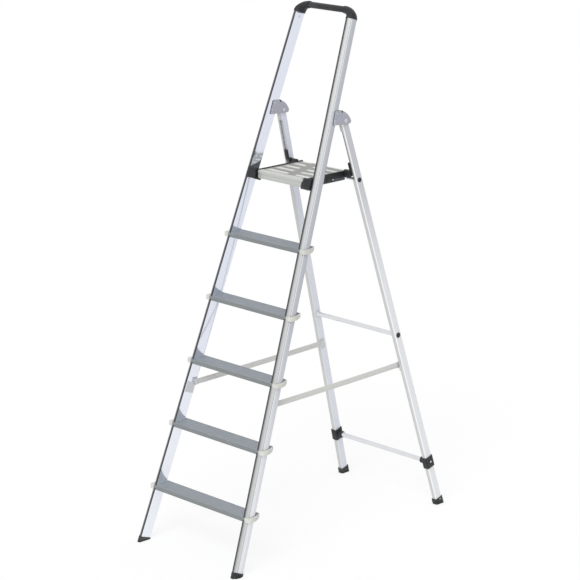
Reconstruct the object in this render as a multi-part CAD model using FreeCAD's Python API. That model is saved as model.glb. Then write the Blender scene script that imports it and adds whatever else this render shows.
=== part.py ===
import FreeCAD, Part
import os
import math

# Folding platform step ladder, all sizes in millimetres.
# +X points to the ladder's right side, +Y to the rear frame, +Z up.  The
# origin is on the floor, in the middle of the ladder's footprint.

V = FreeCAD.Vector

# ---------------------------------------------------------------- overall
STILE_LEAN = 20.0            # front stiles, degrees from vertical
LEG_LEAN = 16.1              # rear legs, degrees from vertical
SPLAY = 3.35                 # sideways splay of stiles and legs, degrees
FRONT_FLOOR_Y = -575.8       # front faces of the stiles, where they meet the floor
FLOOR_HALF_WIDTH = 252.5     # middle plane to a stile's inner face, at the floor
WALL = 2.0                   # wall of stiles and legs
TUBE_WALL = 1.5              # wall of the round cross tubes

# ---------------------------------------------------------------- steps
STEP_COUNT = 5
STEP_SPACING = 235.0
FIRST_STEP_TOP = 214.0
STEP_NOSE_LEAD = 4.0         # step front face ahead of the stile front face
STEP_DEPTH = 76.0
STEP_LIP_HEIGHT = 16.0
STEP_SKIN = 2.5
STEP_EDGE_BAND = 6.0         # plain band along each edge of a step
STEP_RIB_COUNT = 9
STEP_RIB_WIDTH = 3.2
STEP_RIB_HEIGHT = 1.0
STEP_END_PAST_STILE = 10.8   # step end beyond the stile's inner face
COLLAR_REACH = 33.5          # collar's outer side beyond the stile's inner face
COLLAR_CORNER = 11.0
COLLAR_BULGE = 2.0           # how far the collar's side swells past its corners
STEP_RIVET_RADIUS = 2.6

# ---------------------------------------------------------------- stiles
STILE_DEPTH = 49.0
STILE_FLAT = 10.6            # width of the flat front face
STILE_RIDGE = (20.0, 10.0)   # ridge between slanted front and curved side
STILE_BULGE = (24.3, 26.0)   # outermost point of the curved side
STILE_BACK = (11.0, STILE_DEPTH - 2.0)    # end of the curved side
FOOT_RISE = 24.0             # front foot height along the stile's front edge
FOOT_PLUG = 34.0             # how far the foot's plug reaches into the stile
SOLE_OVERHANG = 1.5
FOOT_RIVET_RADIUS = 3.2
FOOT_RIVET_RISE = 7.0        # rivet's middle above the stile's lower end

# ---------------------------------------------------------------- platform
DECK_ABOVE_LAST_STEP = 238.0
DECK_SIDE_GAP = 39.2         # deck side to the stile's inner face
DECK_FRONT_SETBACK = 1.2     # deck front behind the stile front face
DECK_SKIN = 16.0
DECK_PLATE = 3.0
DECK_RIB_COUNT = 21
DECK_RIB_HEIGHT = 1.2
CAP_HEIGHT = 32.0
CAP_RISE = 3.0               # cheek above the deck
CAP_THICKNESS = 5.0
NOSE_DEPTH = 24.0
NOSE_RADIUS = 5.0
NOSE_GROOVE_DROP = 14.0
NOSE_GROOVE_WIDTH = 3.5
PIVOT_SETBACK = 27.0         # platform pivot behind the deck's front
PIVOT_DROP = 14.0            # platform pivot below the deck's top
PIVOT_RADIUS = 5.0
BRACKET_HEIGHT = 42.0
BRACKET_DEPTH = 42.5
BRACKET_LEAD = 8.5           # bearing block ahead of the stile front face
ARM_WIDTH = 16.0
ARM_HEIGHT = 25.0
ARM_ABOVE_DECK = 9.0         # guide arm's top above the deck's top
ARM_LEAD = 8.0               # guide arm ahead of the leg's middle line

# ---------------------------------------------------------------- hinges
HINGE_ABOVE_DECK = 206.0
HINGE_BEHIND_STILE = 33.5    # fold hinge behind the stile rear face, square to it
PLATE_THICKNESS = 3.0
PLATE_GAP = 24.6             # between the two hinge plates of one side
PLATE_FRONT = ((-68.0, -8.0), (-55.0, 40.0), (-50.0, 43.0), (-38.0, 42.0))
PLATE_CROWN = (8.0, 26.0)    # plate corners as (rearward, up) from the hinge
PLATE_REAR = ((29.5, -3.0), (28.0, -11.0), (20.0, -13.5), (-63.0, -10.0))
PLATE_RIVETS = ((-45.0, 32.0, 2.8), (-59.0, 6.0, 3.6), (-60.0, -4.0, 2.8))
HINGE_BOLT_RADIUS = 5.0
BOLT_HEAD_RADIUS = 8.5
BOLT_HEAD_HEIGHT = 3.4
STOP_PIN_RADIUS = 4.2
STOP_PIN_PLACE = (-17.0, 36.0)

# ---------------------------------------------------------------- hoop
STILE_TOP_ABOVE_DECK = 580.0 # stile's front edge at its top end
HOOP_RISE = 30.0             # hoop bar's axis above the stiles' ends
HOOP_CORNER_RUN = 51.0       # width of a corner, stile middle to bar end
HOOP_BAR_DEPTH = 30.0
HOOP_BAR_THICKNESS = 23.5
KNUCKLE_WIDTH = 28.0
KNUCKLE_OVERLAP = 2.5        # knuckle's outline beyond the stile, front to rear
SOCKET_OVERLAP = 5.0         # knuckle's outline beyond the bar
KNUCKLE_PLUG = 38.0
KNUCKLE_SECTIONS = 6
HOOP_SCREW_DROP = 17.0       # screw below the stile's top end

# ---------------------------------------------------------------- rear legs
LEG_WIDTH = 20.5
LEG_DEPTH = 33.3
LEG_CORNER = 4.0
LEG_HEAD = 15.0              # leg end above the hinge
LEG_FLOOR_GAP = 16.0         # leg end above the floor
REAR_FOOT_HEIGHT = 27.0
REAR_FOOT_SIDE = 3.0         # foot's wall beside the leg
REAR_FOOT_END = 5.0          # foot's wall before and behind the leg
GUIDE_SLOT_WIDTH = 12.5
GUIDE_SLOT_DEPTH = 7.5
GUIDE_SLOT_TOP = 39.0        # below the hinge, along the leg
GUIDE_SLOT_UNDER_DECK = 17.0 # slot's lower end below the deck's top
SHOE_ABOVE_DECK = 9.5        # guide shoe's lower end above the deck's top
SHOE_LENGTH = 39.0
SHOE_STAND_OUT = 1.5         # shoe's faces proud of the leg
LUG_LENGTH = 9.5             # shoe's lug, from the leg towards the guide arm
LUG_DEPTH = 15.0
LUG_HEIGHT = 22.0
UPPER_BAR_HEIGHT = 733.0
LOWER_BAR_HEIGHT = 186.0
REST_BAR_DROP = 25.0         # rest bar's axis below the deck's top
REST_BAR_COVER = 8.4         # deck's rear edge behind the rest bar's axis
REST_BAR_EXIT = 7.0          # notch's extra width ahead, where the bar leaves it
UPPER_BAR_RADIUS = 9.0
LOWER_BAR_RADIUS = 9.5
REST_BAR_RADIUS = 7.5
SLEEVE_LENGTH = 14.0
SLEEVE_FLARE = 3.4
PLUG_LENGTH = 17.0
PLUG_HEAD = 2.4
CLAMP_HEIGHT = 46.0
CLAMP_WALL = 4.0
CLAMP_SOCKET = 18.0          # how far the clamp's socket reaches along the bar

# ---------------------------------------------------------------- straps
STRAP_LEVEL = 1.62           # strap's front end above the first step, in step spacings
STRAP_RISE = 10.0            # strap's rear end above its front end
STRAP_HEIGHT = 22.0
STRAP_THICKNESS = 2.0
STRAP_FRONT_INSET = 8.0      # strap inside the stile's inner face
STRAP_REAR_INSET = 6.0       # strap inside the leg's inner side
ANCHOR_PLATE = 2.0
ANCHOR_HALF_HEIGHT = 21.0
TAB_THICKNESS = 6.0
TAB_LENGTH = 13.0

# ---------------------------------------------------------------- fits
SNUG = 0.15                  # between pieces that are pressed or riveted together
RUNNING = 0.5                # between pieces that move past each other
BORE_PLAY = 0.08             # radial play of a pin turning in its bore

TAN_STILE = math.tan(math.radians(STILE_LEAN))
COS_STILE = math.cos(math.radians(STILE_LEAN))
SIN_STILE = math.sin(math.radians(STILE_LEAN))
TAN_LEG = math.tan(math.radians(LEG_LEAN))
COS_LEG = math.cos(math.radians(LEG_LEAN))
SIN_LEG = math.sin(math.radians(LEG_LEAN))
COS_SPLAY = math.cos(math.radians(SPLAY))
SIN_SPLAY = math.sin(math.radians(SPLAY))
X_AXIS = V(1, 0, 0)
INWARD = V(-1, 0, 0)

LAST_STEP_TOP = FIRST_STEP_TOP + (STEP_COUNT - 1) * STEP_SPACING
DECK_TOP = LAST_STEP_TOP + DECK_ABOVE_LAST_STEP
HINGE_HEIGHT = DECK_TOP + HINGE_ABOVE_DECK
STILE_TOP_HEIGHT = DECK_TOP + STILE_TOP_ABOVE_DECK
REST_BAR_HEIGHT = DECK_TOP - REST_BAR_DROP
PLATFORM_PIVOT_Z = DECK_TOP - PIVOT_DROP
STRAP_FRONT_Z = FIRST_STEP_TOP + STRAP_LEVEL * STEP_SPACING
STRAP_REAR_Z = STRAP_FRONT_Z + STRAP_RISE


# ================================================================ places
def front_y(z):
    """Y of the stile's front face at height z."""
    return FRONT_FLOOR_Y + z * TAN_STILE


def inner_x(z):
    """X of the right stile's inner face at height z, on its front edge."""
    return FLOOR_HALF_WIDTH - z * SIN_SPLAY / (COS_SPLAY * COS_STILE)


def inner_face_x(y, z):
    """X of the right stile's inner face, extended, at any y and z."""
    run = (y - FRONT_FLOOR_Y) * SIN_STILE + z * COS_STILE
    return FLOOR_HALF_WIDTH - run * SIN_SPLAY / COS_SPLAY


HINGE_Y = front_y(HINGE_HEIGHT) + (STILE_DEPTH + HINGE_BEHIND_STILE) / COS_STILE
HINGE_X = inner_face_x(HINGE_Y, HINGE_HEIGHT) + PLATE_GAP / 2 / COS_SPLAY


def leg_y(z):
    """Y of the rear leg's middle line at height z."""
    return HINGE_Y + (HINGE_HEIGHT - z) * TAN_LEG


def leg_x(z):
    """X of the right rear leg's middle line at height z."""
    return HINGE_X + (HINGE_HEIGHT - z) * SIN_SPLAY / (COS_SPLAY * COS_LEG)


DECK_HALF_WIDTH = inner_x(DECK_TOP) - DECK_SIDE_GAP
DECK_FRONT_Y = front_y(DECK_TOP) + DECK_FRONT_SETBACK
DECK_REAR_Y = leg_y(REST_BAR_HEIGHT) + REST_BAR_COVER
PLATFORM_PIVOT_Y = DECK_FRONT_Y + PIVOT_SETBACK


def frame_of(across, depth, along, origin):
    """Placement whose local X, Y and Z axes are the three directions given."""
    grid = FreeCAD.Matrix(
        across.x, depth.x, along.x, origin.x,
        across.y, depth.y, along.y, origin.y,
        across.z, depth.z, along.z, origin.z,
        0, 0, 0, 1)
    return FreeCAD.Placement(grid)


def stile_frame():
    """Right stile: X outward from its inner face, Y back from its front, Z up it."""
    up = V(-SIN_SPLAY, COS_SPLAY * SIN_STILE, COS_SPLAY * COS_STILE)
    out = V(COS_SPLAY, SIN_SPLAY * SIN_STILE, SIN_SPLAY * COS_STILE)
    back = V(0, COS_STILE, -SIN_STILE)
    return frame_of(out, back, up, V(FLOOR_HALF_WIDTH, FRONT_FLOOR_Y, 0))


def leg_frame():
    """Right leg: origin on the hinge, X outward, Y rearward, Z up the leg."""
    up = V(-SIN_SPLAY, -COS_SPLAY * SIN_LEG, COS_SPLAY * COS_LEG)
    out = V(COS_SPLAY, -SIN_SPLAY * SIN_LEG, SIN_SPLAY * COS_LEG)
    back = V(0, COS_LEG, SIN_LEG)
    return frame_of(out, back, up, V(HINGE_X, HINGE_Y, HINGE_HEIGHT))


def placed(shape, frame):
    """Copy of a shape moved from its own frame into the ladder's frame."""
    moved = shape.copy()
    moved.transformShape(frame.toMatrix())
    return moved


def along_stile(z):
    """Distance up the stile's front edge to height z."""
    return z / (COS_SPLAY * COS_STILE)


def down_leg(z):
    """Distance down the leg's middle line to height z."""
    return (HINGE_HEIGHT - z) / (COS_SPLAY * COS_LEG)


def mirrored(shape):
    return shape.mirror(V(0, 0, 0), X_AXIS)


def box(x0, x1, y0, y1, z0, z1):
    return Part.makeBox(x1 - x0, y1 - y0, z1 - z0, V(x0, y0, z0))


def rod(radius, start, end):
    line = end.sub(start)
    return Part.makeCylinder(radius, line.Length, start, line)


def rounded_box(x0, x1, y0, y1, z0, z1, radius, axis):
    """Box with the four edges that run along one axis rounded."""
    block = box(x0, x1, y0, y1, z0, z1)
    chosen = []
    for edge in block.Edges:
        run = edge.Vertexes[1].Point.sub(edge.Vertexes[0].Point)
        if abs(run.normalize().dot(axis)) > 0.9:
            chosen.append(edge)
    return block.makeFillet(radius, chosen)


def hinge_rod(radius, start, end):
    """Rod along the fold axis, between two distances from the leg's middle."""
    return rod(radius, V(HINGE_X + start, HINGE_Y, HINGE_HEIGHT),
               V(HINGE_X + end, HINGE_Y, HINGE_HEIGHT))


def pivot_rod(radius, start, end):
    """Rod along the platform's pivot axis, between two X values."""
    return rod(radius, V(start, PLATFORM_PIVOT_Y, PLATFORM_PIVOT_Z),
               V(end, PLATFORM_PIVOT_Y, PLATFORM_PIVOT_Z))


def above_floor(shape):
    return shape.common(box(-2000, 2000, -2000, 2000, 0, 3000))


def group(shapes):
    return Part.makeCompound(shapes)


# ================================================================ stiles
def stile_outline(grow):
    """Closed wire of the stile section, grown outward by a margin."""
    flat = Part.makeLine(V(0, 0, 0), V(STILE_FLAT, 0, 0))
    slant = Part.makeLine(V(STILE_FLAT, 0, 0), V(STILE_RIDGE[0], STILE_RIDGE[1], 0))
    side = Part.Arc(
        V(STILE_RIDGE[0], STILE_RIDGE[1], 0),
        V(STILE_BULGE[0], STILE_BULGE[1], 0),
        V(STILE_BACK[0], STILE_BACK[1], 0)).toShape()
    back = Part.makeLine(V(STILE_BACK[0], STILE_BACK[1], 0), V(0, STILE_DEPTH, 0))
    inner = Part.makeLine(V(0, STILE_DEPTH, 0), V(0, 0, 0))
    wire = Part.Wire([flat, slant, side, back, inner])
    if grow == 0:
        return wire
    return wire.makeOffset2D(grow)


def stile_bar(grow, low, high):
    """Solid bar of the stile's section, between two distances up the stile."""
    face = Part.Face(stile_outline(grow))
    face.translate(V(0, 0, low))
    return face.extrude(V(0, 0, high - low))


def stile():
    low = FOOT_RISE
    high = along_stile(STILE_TOP_HEIGHT)
    tube = stile_bar(0, low, high).cut(stile_bar(-WALL, low - 1, high + 1))
    return placed(tube.cut(foot_rivet(SNUG)), stile_frame())


def front_foot():
    """Moulded foot: flat sole, stop shoulder, and a plug inside the stile."""
    sole = stile_bar(SOLE_OVERHANG, -60, FOOT_RISE)
    plug = stile_bar(-WALL - SNUG, FOOT_RISE - 1, FOOT_RISE + FOOT_PLUG)
    foot = sole.fuse(plug).cut(foot_rivet(SNUG))
    return above_floor(placed(foot, stile_frame()))


def foot_rivet(grow):
    """Blind rivet from inside the foot plug to just proud of the stile's side."""
    start = V(STILE_BULGE[0] - 2 * WALL - grow, STILE_BULGE[1], FOOT_RISE + FOOT_RIVET_RISE)
    length = 2 * WALL + 1.0 + 2 * grow
    return Part.makeCylinder(FOOT_RIVET_RADIUS + grow, length, start, X_AXIS)


def front_foot_rivet():
    return placed(foot_rivet(0), stile_frame())


# ================================================================ steps
def step_profile():
    """Closed section of the tread: lips front and rear, ribs on top."""
    skin_top = -STEP_RIB_HEIGHT
    skin_bottom = skin_top - STEP_SKIN
    low = -STEP_LIP_HEIGHT
    rear = STEP_DEPTH
    band = STEP_EDGE_BAND
    points = [V(0, 0, low), V(0, 0, 0), V(0, band, 0), V(0, band, skin_top)]
    pitch = (STEP_DEPTH - 2 * band) / STEP_RIB_COUNT
    chamfer = STEP_RIB_HEIGHT / 2
    for index in range(STEP_RIB_COUNT):
        start = band + pitch * (index + 0.5) - STEP_RIB_WIDTH / 2
        end = start + STEP_RIB_WIDTH
        points.append(V(0, start, skin_top))
        points.append(V(0, start + chamfer, 0))
        points.append(V(0, end - chamfer, 0))
        points.append(V(0, end, skin_top))
    points.append(V(0, rear - band, skin_top))
    points.append(V(0, rear - band, 0))
    points.append(V(0, rear, 0))
    points.append(V(0, rear, low))
    points.append(V(0, rear - STEP_SKIN, low))
    points.append(V(0, rear - STEP_SKIN, skin_bottom))
    points.append(V(0, STEP_SKIN, skin_bottom))
    points.append(V(0, STEP_SKIN, low))
    points.append(points[0])
    return Part.Face(Part.makePolygon(points))


def step_place(index):
    """Front top corner of a step on the middle plane."""
    z = FIRST_STEP_TOP + index * STEP_SPACING
    return V(0, front_y(z) - STEP_NOSE_LEAD, z)


def stile_cutter():
    """Stile shape grown by a snug clearance, for cutting passages."""
    high = along_stile(STILE_TOP_HEIGHT)
    return placed(stile_bar(SNUG, 0, high), stile_frame())


def step(index, passage):
    corner = step_place(index)
    half = inner_x(corner.z) + STEP_END_PAST_STILE
    face = step_profile()
    face.translate(V(-half, corner.y, corner.z))
    tread = face.extrude(V(2 * half, 0, 0))
    return tread.cut(passage).cut(mirrored(passage))


def collar(index, passage):
    """Moulded end piece that carries the step's rim round the stile."""
    corner = step_place(index)
    start = inner_x(corner.z) + STEP_END_PAST_STILE + SNUG
    reach = inner_x(corner.z) + COLLAR_REACH
    front = corner.y
    rear = corner.y + STEP_DEPTH
    z = corner.z - STEP_LIP_HEIGHT
    cut_back = COLLAR_CORNER * (1 - math.cos(math.radians(45)))
    a = V(start, front, z)
    b = V(reach - COLLAR_CORNER, front, z)
    c = V(reach - cut_back, front + cut_back, z)
    d = V(reach, front + COLLAR_CORNER, z)
    e = V(reach + COLLAR_BULGE, front + STEP_DEPTH * 0.4, z)
    f = V(reach - 2 * COLLAR_BULGE, front + STEP_DEPTH * 0.6, z)
    g = V(start + 2 * COLLAR_BULGE, rear - 4 * COLLAR_BULGE, z)
    h = V(start, rear, z)
    swell = 0.8 * COLLAR_BULGE
    middle = V((f.x + g.x) / 2 + swell, (f.y + g.y) / 2 + swell, z)
    edges = [
        Part.makeLine(a, b),
        Part.Arc(b, c, d).toShape(),
        Part.Arc(d, e, f).toShape(),
        Part.Arc(f, middle, g).toShape(),
        Part.makeLine(g, h),
        Part.makeLine(h, a)]
    block = Part.Face(Part.Wire(edges)).extrude(V(0, 0, STEP_LIP_HEIGHT))
    shaped = block.cut(passage)
    return max(shaped.Solids, key=lambda solid: solid.Volume)


def step_rivet(index):
    """Rivet head on the stile's inner face, under a step's skin."""
    z = step_place(index).z - STEP_LIP_HEIGHT * 0.62
    start = V(0, STILE_DEPTH / 2, along_stile(z))
    head = Part.makeCylinder(STEP_RIVET_RADIUS, 1.6, start, INWARD)
    return placed(head, stile_frame())


# ================================================================ hoop
def ellipse_section(centre, normal, deep, thin):
    """Elliptic wire, its long axis along Y."""
    across = V(0, 1, 0)
    other = across.cross(normal)
    curve = Part.Ellipse(centre.add(across.multiply(deep / 2)),
                         centre.add(other.multiply(thin / 2)), centre)
    return Part.Wire([curve.toShape()])


def stile_end():
    """Middle of the right stile's section at its top end."""
    middle = V(STILE_BULGE[0] / 2, STILE_DEPTH / 2, along_stile(STILE_TOP_HEIGHT))
    return placed(Part.Vertex(middle), stile_frame()).Point


def hoop_centre(x):
    """Point on the hoop bar's axis."""
    top = stile_end()
    return V(x, top.y + HOOP_RISE * TAN_STILE, top.z + HOOP_RISE)


def hoop_half_length():
    return stile_end().x - HOOP_CORNER_RUN


def hoop_corner():
    """Moulded knuckle from the stile's top end round to the crossbar."""
    top = stile_end()
    sections = []
    for index in range(KNUCKLE_SECTIONS):
        part = index / (KNUCKLE_SECTIONS - 1)
        turn = part * math.pi / 2
        rise = HOOP_RISE * math.sin(turn)
        centre = V(hoop_half_length() + HOOP_CORNER_RUN * math.cos(turn),
                   top.y + rise * TAN_STILE, top.z + rise)
        normal = V(-math.sin(turn), 0, math.cos(turn))
        deep = (STILE_DEPTH + KNUCKLE_OVERLAP) * (1 - part)
        deep += (HOOP_BAR_DEPTH + SOCKET_OVERLAP) * part
        thin = KNUCKLE_WIDTH * (1 - part) + (HOOP_BAR_THICKNESS + SOCKET_OVERLAP) * part
        sections.append(ellipse_section(centre, normal, deep, thin))
    knuckle = Part.makeLoft(sections, True)
    end = along_stile(STILE_TOP_HEIGHT)
    plug = placed(stile_bar(-WALL - SNUG, end - KNUCKLE_PLUG, end + 4), stile_frame())
    over = placed(stile_bar(60, end - 60, end), stile_frame())
    return knuckle.cut(over).fuse(plug)


def hoop_bar():
    """Oval grab bar between the two knuckles."""
    half = hoop_half_length() - SNUG
    wire = ellipse_section(hoop_centre(-half), X_AXIS, HOOP_BAR_DEPTH, HOOP_BAR_THICKNESS)
    return Part.Face(wire).extrude(V(2 * half, 0, 0))


def hoop_screw():
    """Pan-head screw in the stile's inner face, just under the knuckle."""
    start = V(0, STILE_DEPTH / 2 + 1.5, along_stile(STILE_TOP_HEIGHT - HOOP_SCREW_DROP))
    head = Part.makeCylinder(4.0, 2.4, start, INWARD)
    return placed(head, stile_frame())


# ================================================================ hinges
def in_hinge_frame(dy, dz):
    """Point of the stile frame for offsets from the hinge, square to the ladder."""
    y = HINGE_Y + dy
    z = HINGE_HEIGHT + dz
    depth = (y - FRONT_FLOOR_Y) * COS_STILE - z * SIN_STILE
    height = ((y - FRONT_FLOOR_Y) * SIN_STILE + z * COS_STILE) / COS_SPLAY
    return depth, height


def hinge_plate(u):
    """Pressed steel plate, flat on one side of the stile and the leg."""
    front = [V(u, *in_hinge_frame(*corner)) for corner in PLATE_FRONT]
    rear = [V(u, *in_hinge_frame(*corner)) for corner in PLATE_REAR]
    crown = V(u, *in_hinge_frame(*PLATE_CROWN))
    edges = [Part.makeLine(a, b) for a, b in zip(front, front[1:])]
    edges.append(Part.Arc(front[-1], crown, rear[0]).toShape())
    edges.extend(Part.makeLine(a, b) for a, b in zip(rear, rear[1:]))
    edges.append(Part.makeLine(rear[-1], front[0]))
    plate = Part.Face(Part.Wire(edges)).extrude(V(PLATE_THICKNESS, 0, 0))
    plate = plate.cut(stop_roller(STOP_PIN_RADIUS + SNUG, 2 * PLATE_THICKNESS))
    bore = hinge_rod(HINGE_BOLT_RADIUS + SNUG, -PLATE_GAP, PLATE_GAP)
    return placed(plate, stile_frame()).cut(bore)


def inner_plate():
    return hinge_plate(-PLATE_THICKNESS)


def outer_plate():
    return hinge_plate(PLATE_GAP)


def hinge_bolt():
    """Shouldered bolt along the fold axis through both plates and the leg head."""
    depth, height = in_hinge_frame(0, 0)
    reach = PLATE_GAP / 2 + PLATE_THICKNESS + 1.5
    shank = hinge_rod(HINGE_BOLT_RADIUS, -reach, reach)
    outer = V(PLATE_GAP + PLATE_THICKNESS + SNUG, depth, height)
    inner = V(-PLATE_THICKNESS - SNUG, depth, height)
    head = Part.makeCylinder(BOLT_HEAD_RADIUS, BOLT_HEAD_HEIGHT, outer, X_AXIS)
    nut = Part.makeCylinder(BOLT_HEAD_RADIUS - 1.0, BOLT_HEAD_HEIGHT, inner, INWARD)
    return shank.fuse(placed(head.fuse(nut), stile_frame()))


def stop_roller(radius, beyond):
    """Rod across the plates behind the stile, reaching past them on each side."""
    start = V(-PLATE_THICKNESS - beyond, *in_hinge_frame(*STOP_PIN_PLACE))
    length = PLATE_GAP + 2 * PLATE_THICKNESS + 2 * beyond
    return Part.makeCylinder(radius, length, start, X_AXIS)


def stop_pin():
    """Plastic stop roller held between the two plates, behind the stile."""
    return placed(stop_roller(STOP_PIN_RADIUS, 0.8), stile_frame())


def hinge_rivets():
    """Heads of the rivets that hold both plates to the stile, inside and out."""
    heads = []
    for rearward, up, radius in PLATE_RIVETS:
        depth, height = in_hinge_frame(rearward, up)
        inside = Part.makeCylinder(radius, 1.4, V(-PLATE_THICKNESS, depth, height), INWARD)
        outside = Part.makeCylinder(
            radius, 1.4, V(PLATE_GAP + PLATE_THICKNESS, depth, height), X_AXIS)
        heads.append(placed(inside, stile_frame()))
        heads.append(placed(outside, stile_frame()))
    return heads


# ================================================================ rear legs
def leg_bar(grow, low, high):
    """Rounded rectangular bar on the leg's axis, grown outward by a margin."""
    half = LEG_WIDTH / 2 + grow
    deep = LEG_DEPTH / 2 + grow
    radius = max(LEG_CORNER + grow, 0.8)
    return rounded_box(-half, half, -deep, deep, low, high, radius, V(0, 0, 1))


def rear_leg():
    """Rear leg tube with its guide slot and the bores for bolt and cross tubes."""
    foot = -down_leg(LEG_FLOOR_GAP)
    tube = leg_bar(0, foot, LEG_HEAD).cut(leg_bar(-WALL, foot - 1, LEG_HEAD + 1))
    slot = box(-LEG_WIDTH / 2 - 1, -LEG_WIDTH / 2 + GUIDE_SLOT_WIDTH,
               -LEG_DEPTH / 2 - 1, -LEG_DEPTH / 2 + GUIDE_SLOT_DEPTH,
               -down_leg(DECK_TOP - GUIDE_SLOT_UNDER_DECK), -GUIDE_SLOT_TOP)
    leg = placed(tube.cut(slot), leg_frame())
    leg = leg.cut(hinge_rod(HINGE_BOLT_RADIUS + BORE_PLAY, -LEG_WIDTH, LEG_WIDTH))
    for height, radius in ((UPPER_BAR_HEIGHT, UPPER_BAR_RADIUS),
                           (REST_BAR_HEIGHT, REST_BAR_RADIUS)):
        passage = rod(radius + SNUG, V(0, leg_y(height), height),
                      V(2 * leg_x(height), leg_y(height), height))
        leg = leg.cut(passage)
    return leg


def cross_tube(radius, height, half):
    """Round tube across the rear frame."""
    y = leg_y(height)
    outer = rod(radius, V(-half, y, height), V(half, y, height))
    return outer.cut(rod(radius - TUBE_WALL, V(-half - 1, y, height), V(half + 1, y, height)))


def through_half(height):
    """Half length of a tube that ends flush with the legs' outer sides."""
    return leg_x(height) + LEG_WIDTH / 2


def bar_plug(radius, height):
    """Plastic plug with a flat head, closing the end of a through tube."""
    y = leg_y(height)
    end = through_half(height) + 1.2
    head = Part.makeCylinder(radius + TUBE_WALL, PLUG_HEAD, V(end, y, height), X_AXIS)
    stem = rod(radius - TUBE_WALL - SNUG, V(end - PLUG_LENGTH, y, height), V(end + 1, y, height))
    return head.fuse(stem)


def bar_sleeve(radius, height):
    """Flared collar of the upper crossbar against the leg's inner side."""
    y = leg_y(height)
    start = V(leg_x(height) - LEG_WIDTH / 2 - SLEEVE_LENGTH - 1.5, y, height)
    cone = Part.makeCone(radius + 2 * SNUG, radius + SLEEVE_FLARE, SLEEVE_LENGTH, start, X_AXIS)
    return cone.cut(rod(radius + SNUG, V(0, y, height), V(2 * start.x, y, height)))


def lower_clamp():
    """Plastic clamp round the leg, with a socket for the lower crossbar."""
    height = LOWER_BAR_HEIGHT
    centre = -down_leg(height)
    half = LEG_WIDTH / 2 + CLAMP_WALL
    deep = LEG_DEPTH / 2 + CLAMP_WALL
    block = rounded_box(-half, half, -deep, deep, centre - CLAMP_HEIGHT / 2,
                        centre + CLAMP_HEIGHT / 2, CLAMP_WALL + 2.0, V(0, 0, 1))
    body = placed(block, leg_frame())
    y = leg_y(height)
    side = leg_x(height) - half
    socket = rod(LOWER_BAR_RADIUS + CLAMP_WALL, V(side - CLAMP_SOCKET, y, height),
                 V(side + CLAMP_WALL, y, height))
    body = body.fuse(socket)
    body = body.cut(rod(LOWER_BAR_RADIUS + SNUG, V(0, y, height), V(side + 1.0, y, height)))
    passage = placed(leg_bar(SNUG, centre - CLAMP_HEIGHT, centre + CLAMP_HEIGHT), leg_frame())
    return body.cut(passage)


def clamp_rivet():
    """Rivet head on the clamp's outer side."""
    start = V(LEG_WIDTH / 2 + CLAMP_WALL, 2.0, -down_leg(LOWER_BAR_HEIGHT))
    return placed(Part.makeCylinder(4.0, 1.6, start, X_AXIS), leg_frame())


def rear_foot():
    """Moulded shoe round the leg's end: flat sole, high rim, plug inside the leg."""
    half = LEG_WIDTH / 2 + REAR_FOOT_SIDE
    deep = LEG_DEPTH / 2 + REAR_FOOT_END
    low = -down_leg(-REAR_FOOT_HEIGHT / 2)
    high = -down_leg(REAR_FOOT_HEIGHT)
    shoe = rounded_box(-half, half, -deep, deep, low, high,
                       LEG_CORNER + REAR_FOOT_SIDE, V(0, 0, 1))
    shoe = above_floor(placed(shoe, leg_frame()))
    foot = -down_leg(LEG_FLOOR_GAP)
    passage = placed(leg_bar(SNUG, foot - SNUG, 0), leg_frame())
    plug = placed(leg_bar(-WALL - SNUG, foot - 2, foot + REAR_FOOT_HEIGHT), leg_frame())
    return shoe.cut(passage).fuse(plug)


def rear_foot_rivet():
    """Rivet head on the foot's outer side."""
    start = V(LEG_WIDTH / 2 + REAR_FOOT_SIDE, 3.0, -down_leg(REAR_FOOT_HEIGHT * 0.75))
    return placed(Part.makeCylinder(2.6, 1.2, start, X_AXIS), leg_frame())


# ================================================================ platform
def deck():
    """Ribbed aluminium deck between the side caps."""
    half = DECK_HALF_WIDTH - CAP_THICKNESS
    front = DECK_FRONT_Y + NOSE_DEPTH
    rear = DECK_REAR_Y
    top = DECK_TOP - DECK_RIB_HEIGHT
    low = DECK_TOP - DECK_SKIN
    pitch = (rear - front) / DECK_RIB_COUNT
    points = [V(-half, front, low), V(-half, front, top)]
    for index in range(DECK_RIB_COUNT):
        start = front + pitch * (index + 0.22)
        end = front + pitch * (index + 0.78)
        points.append(V(-half, start, top))
        points.append(V(-half, start + 0.8, DECK_TOP))
        points.append(V(-half, end - 0.8, DECK_TOP))
        points.append(V(-half, end, top))
    points.append(V(-half, rear, top))
    points.append(V(-half, rear, low))
    points.append(V(-half, rear - DECK_PLATE, low))
    points.append(V(-half, rear - DECK_PLATE, top - DECK_PLATE))
    points.append(V(-half, front + DECK_PLATE, top - DECK_PLATE))
    points.append(V(-half, front + DECK_PLATE, low))
    points.append(points[0])
    return Part.Face(Part.makePolygon(points)).extrude(V(2 * half, 0, 0))


def nosing():
    """Rounded front edge profile of the platform, with a groove along its face."""
    half = DECK_HALF_WIDTH - CAP_THICKNESS
    front = DECK_FRONT_Y
    rear = DECK_FRONT_Y + NOSE_DEPTH - SNUG
    low = DECK_TOP - CAP_HEIGHT
    block = box(-half, half, front, rear, low, DECK_TOP)
    rounds = [e for e in block.Edges
              if abs(e.CenterOfMass.y - front) < 0.01 and e.Length > half]
    block = block.makeFillet(NOSE_RADIUS, rounds)
    groove_top = DECK_TOP - NOSE_GROOVE_DROP
    groove = box(-half - 1, half + 1, front - 1, front + DECK_PLATE - 1,
                 groove_top - NOSE_GROOVE_WIDTH, groove_top)
    hollow = box(-half - 1, half + 1, front + DECK_PLATE, rear + 1,
                 low + DECK_PLATE, DECK_TOP - DECK_PLATE)
    return block.cut(groove).cut(hollow)


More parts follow.
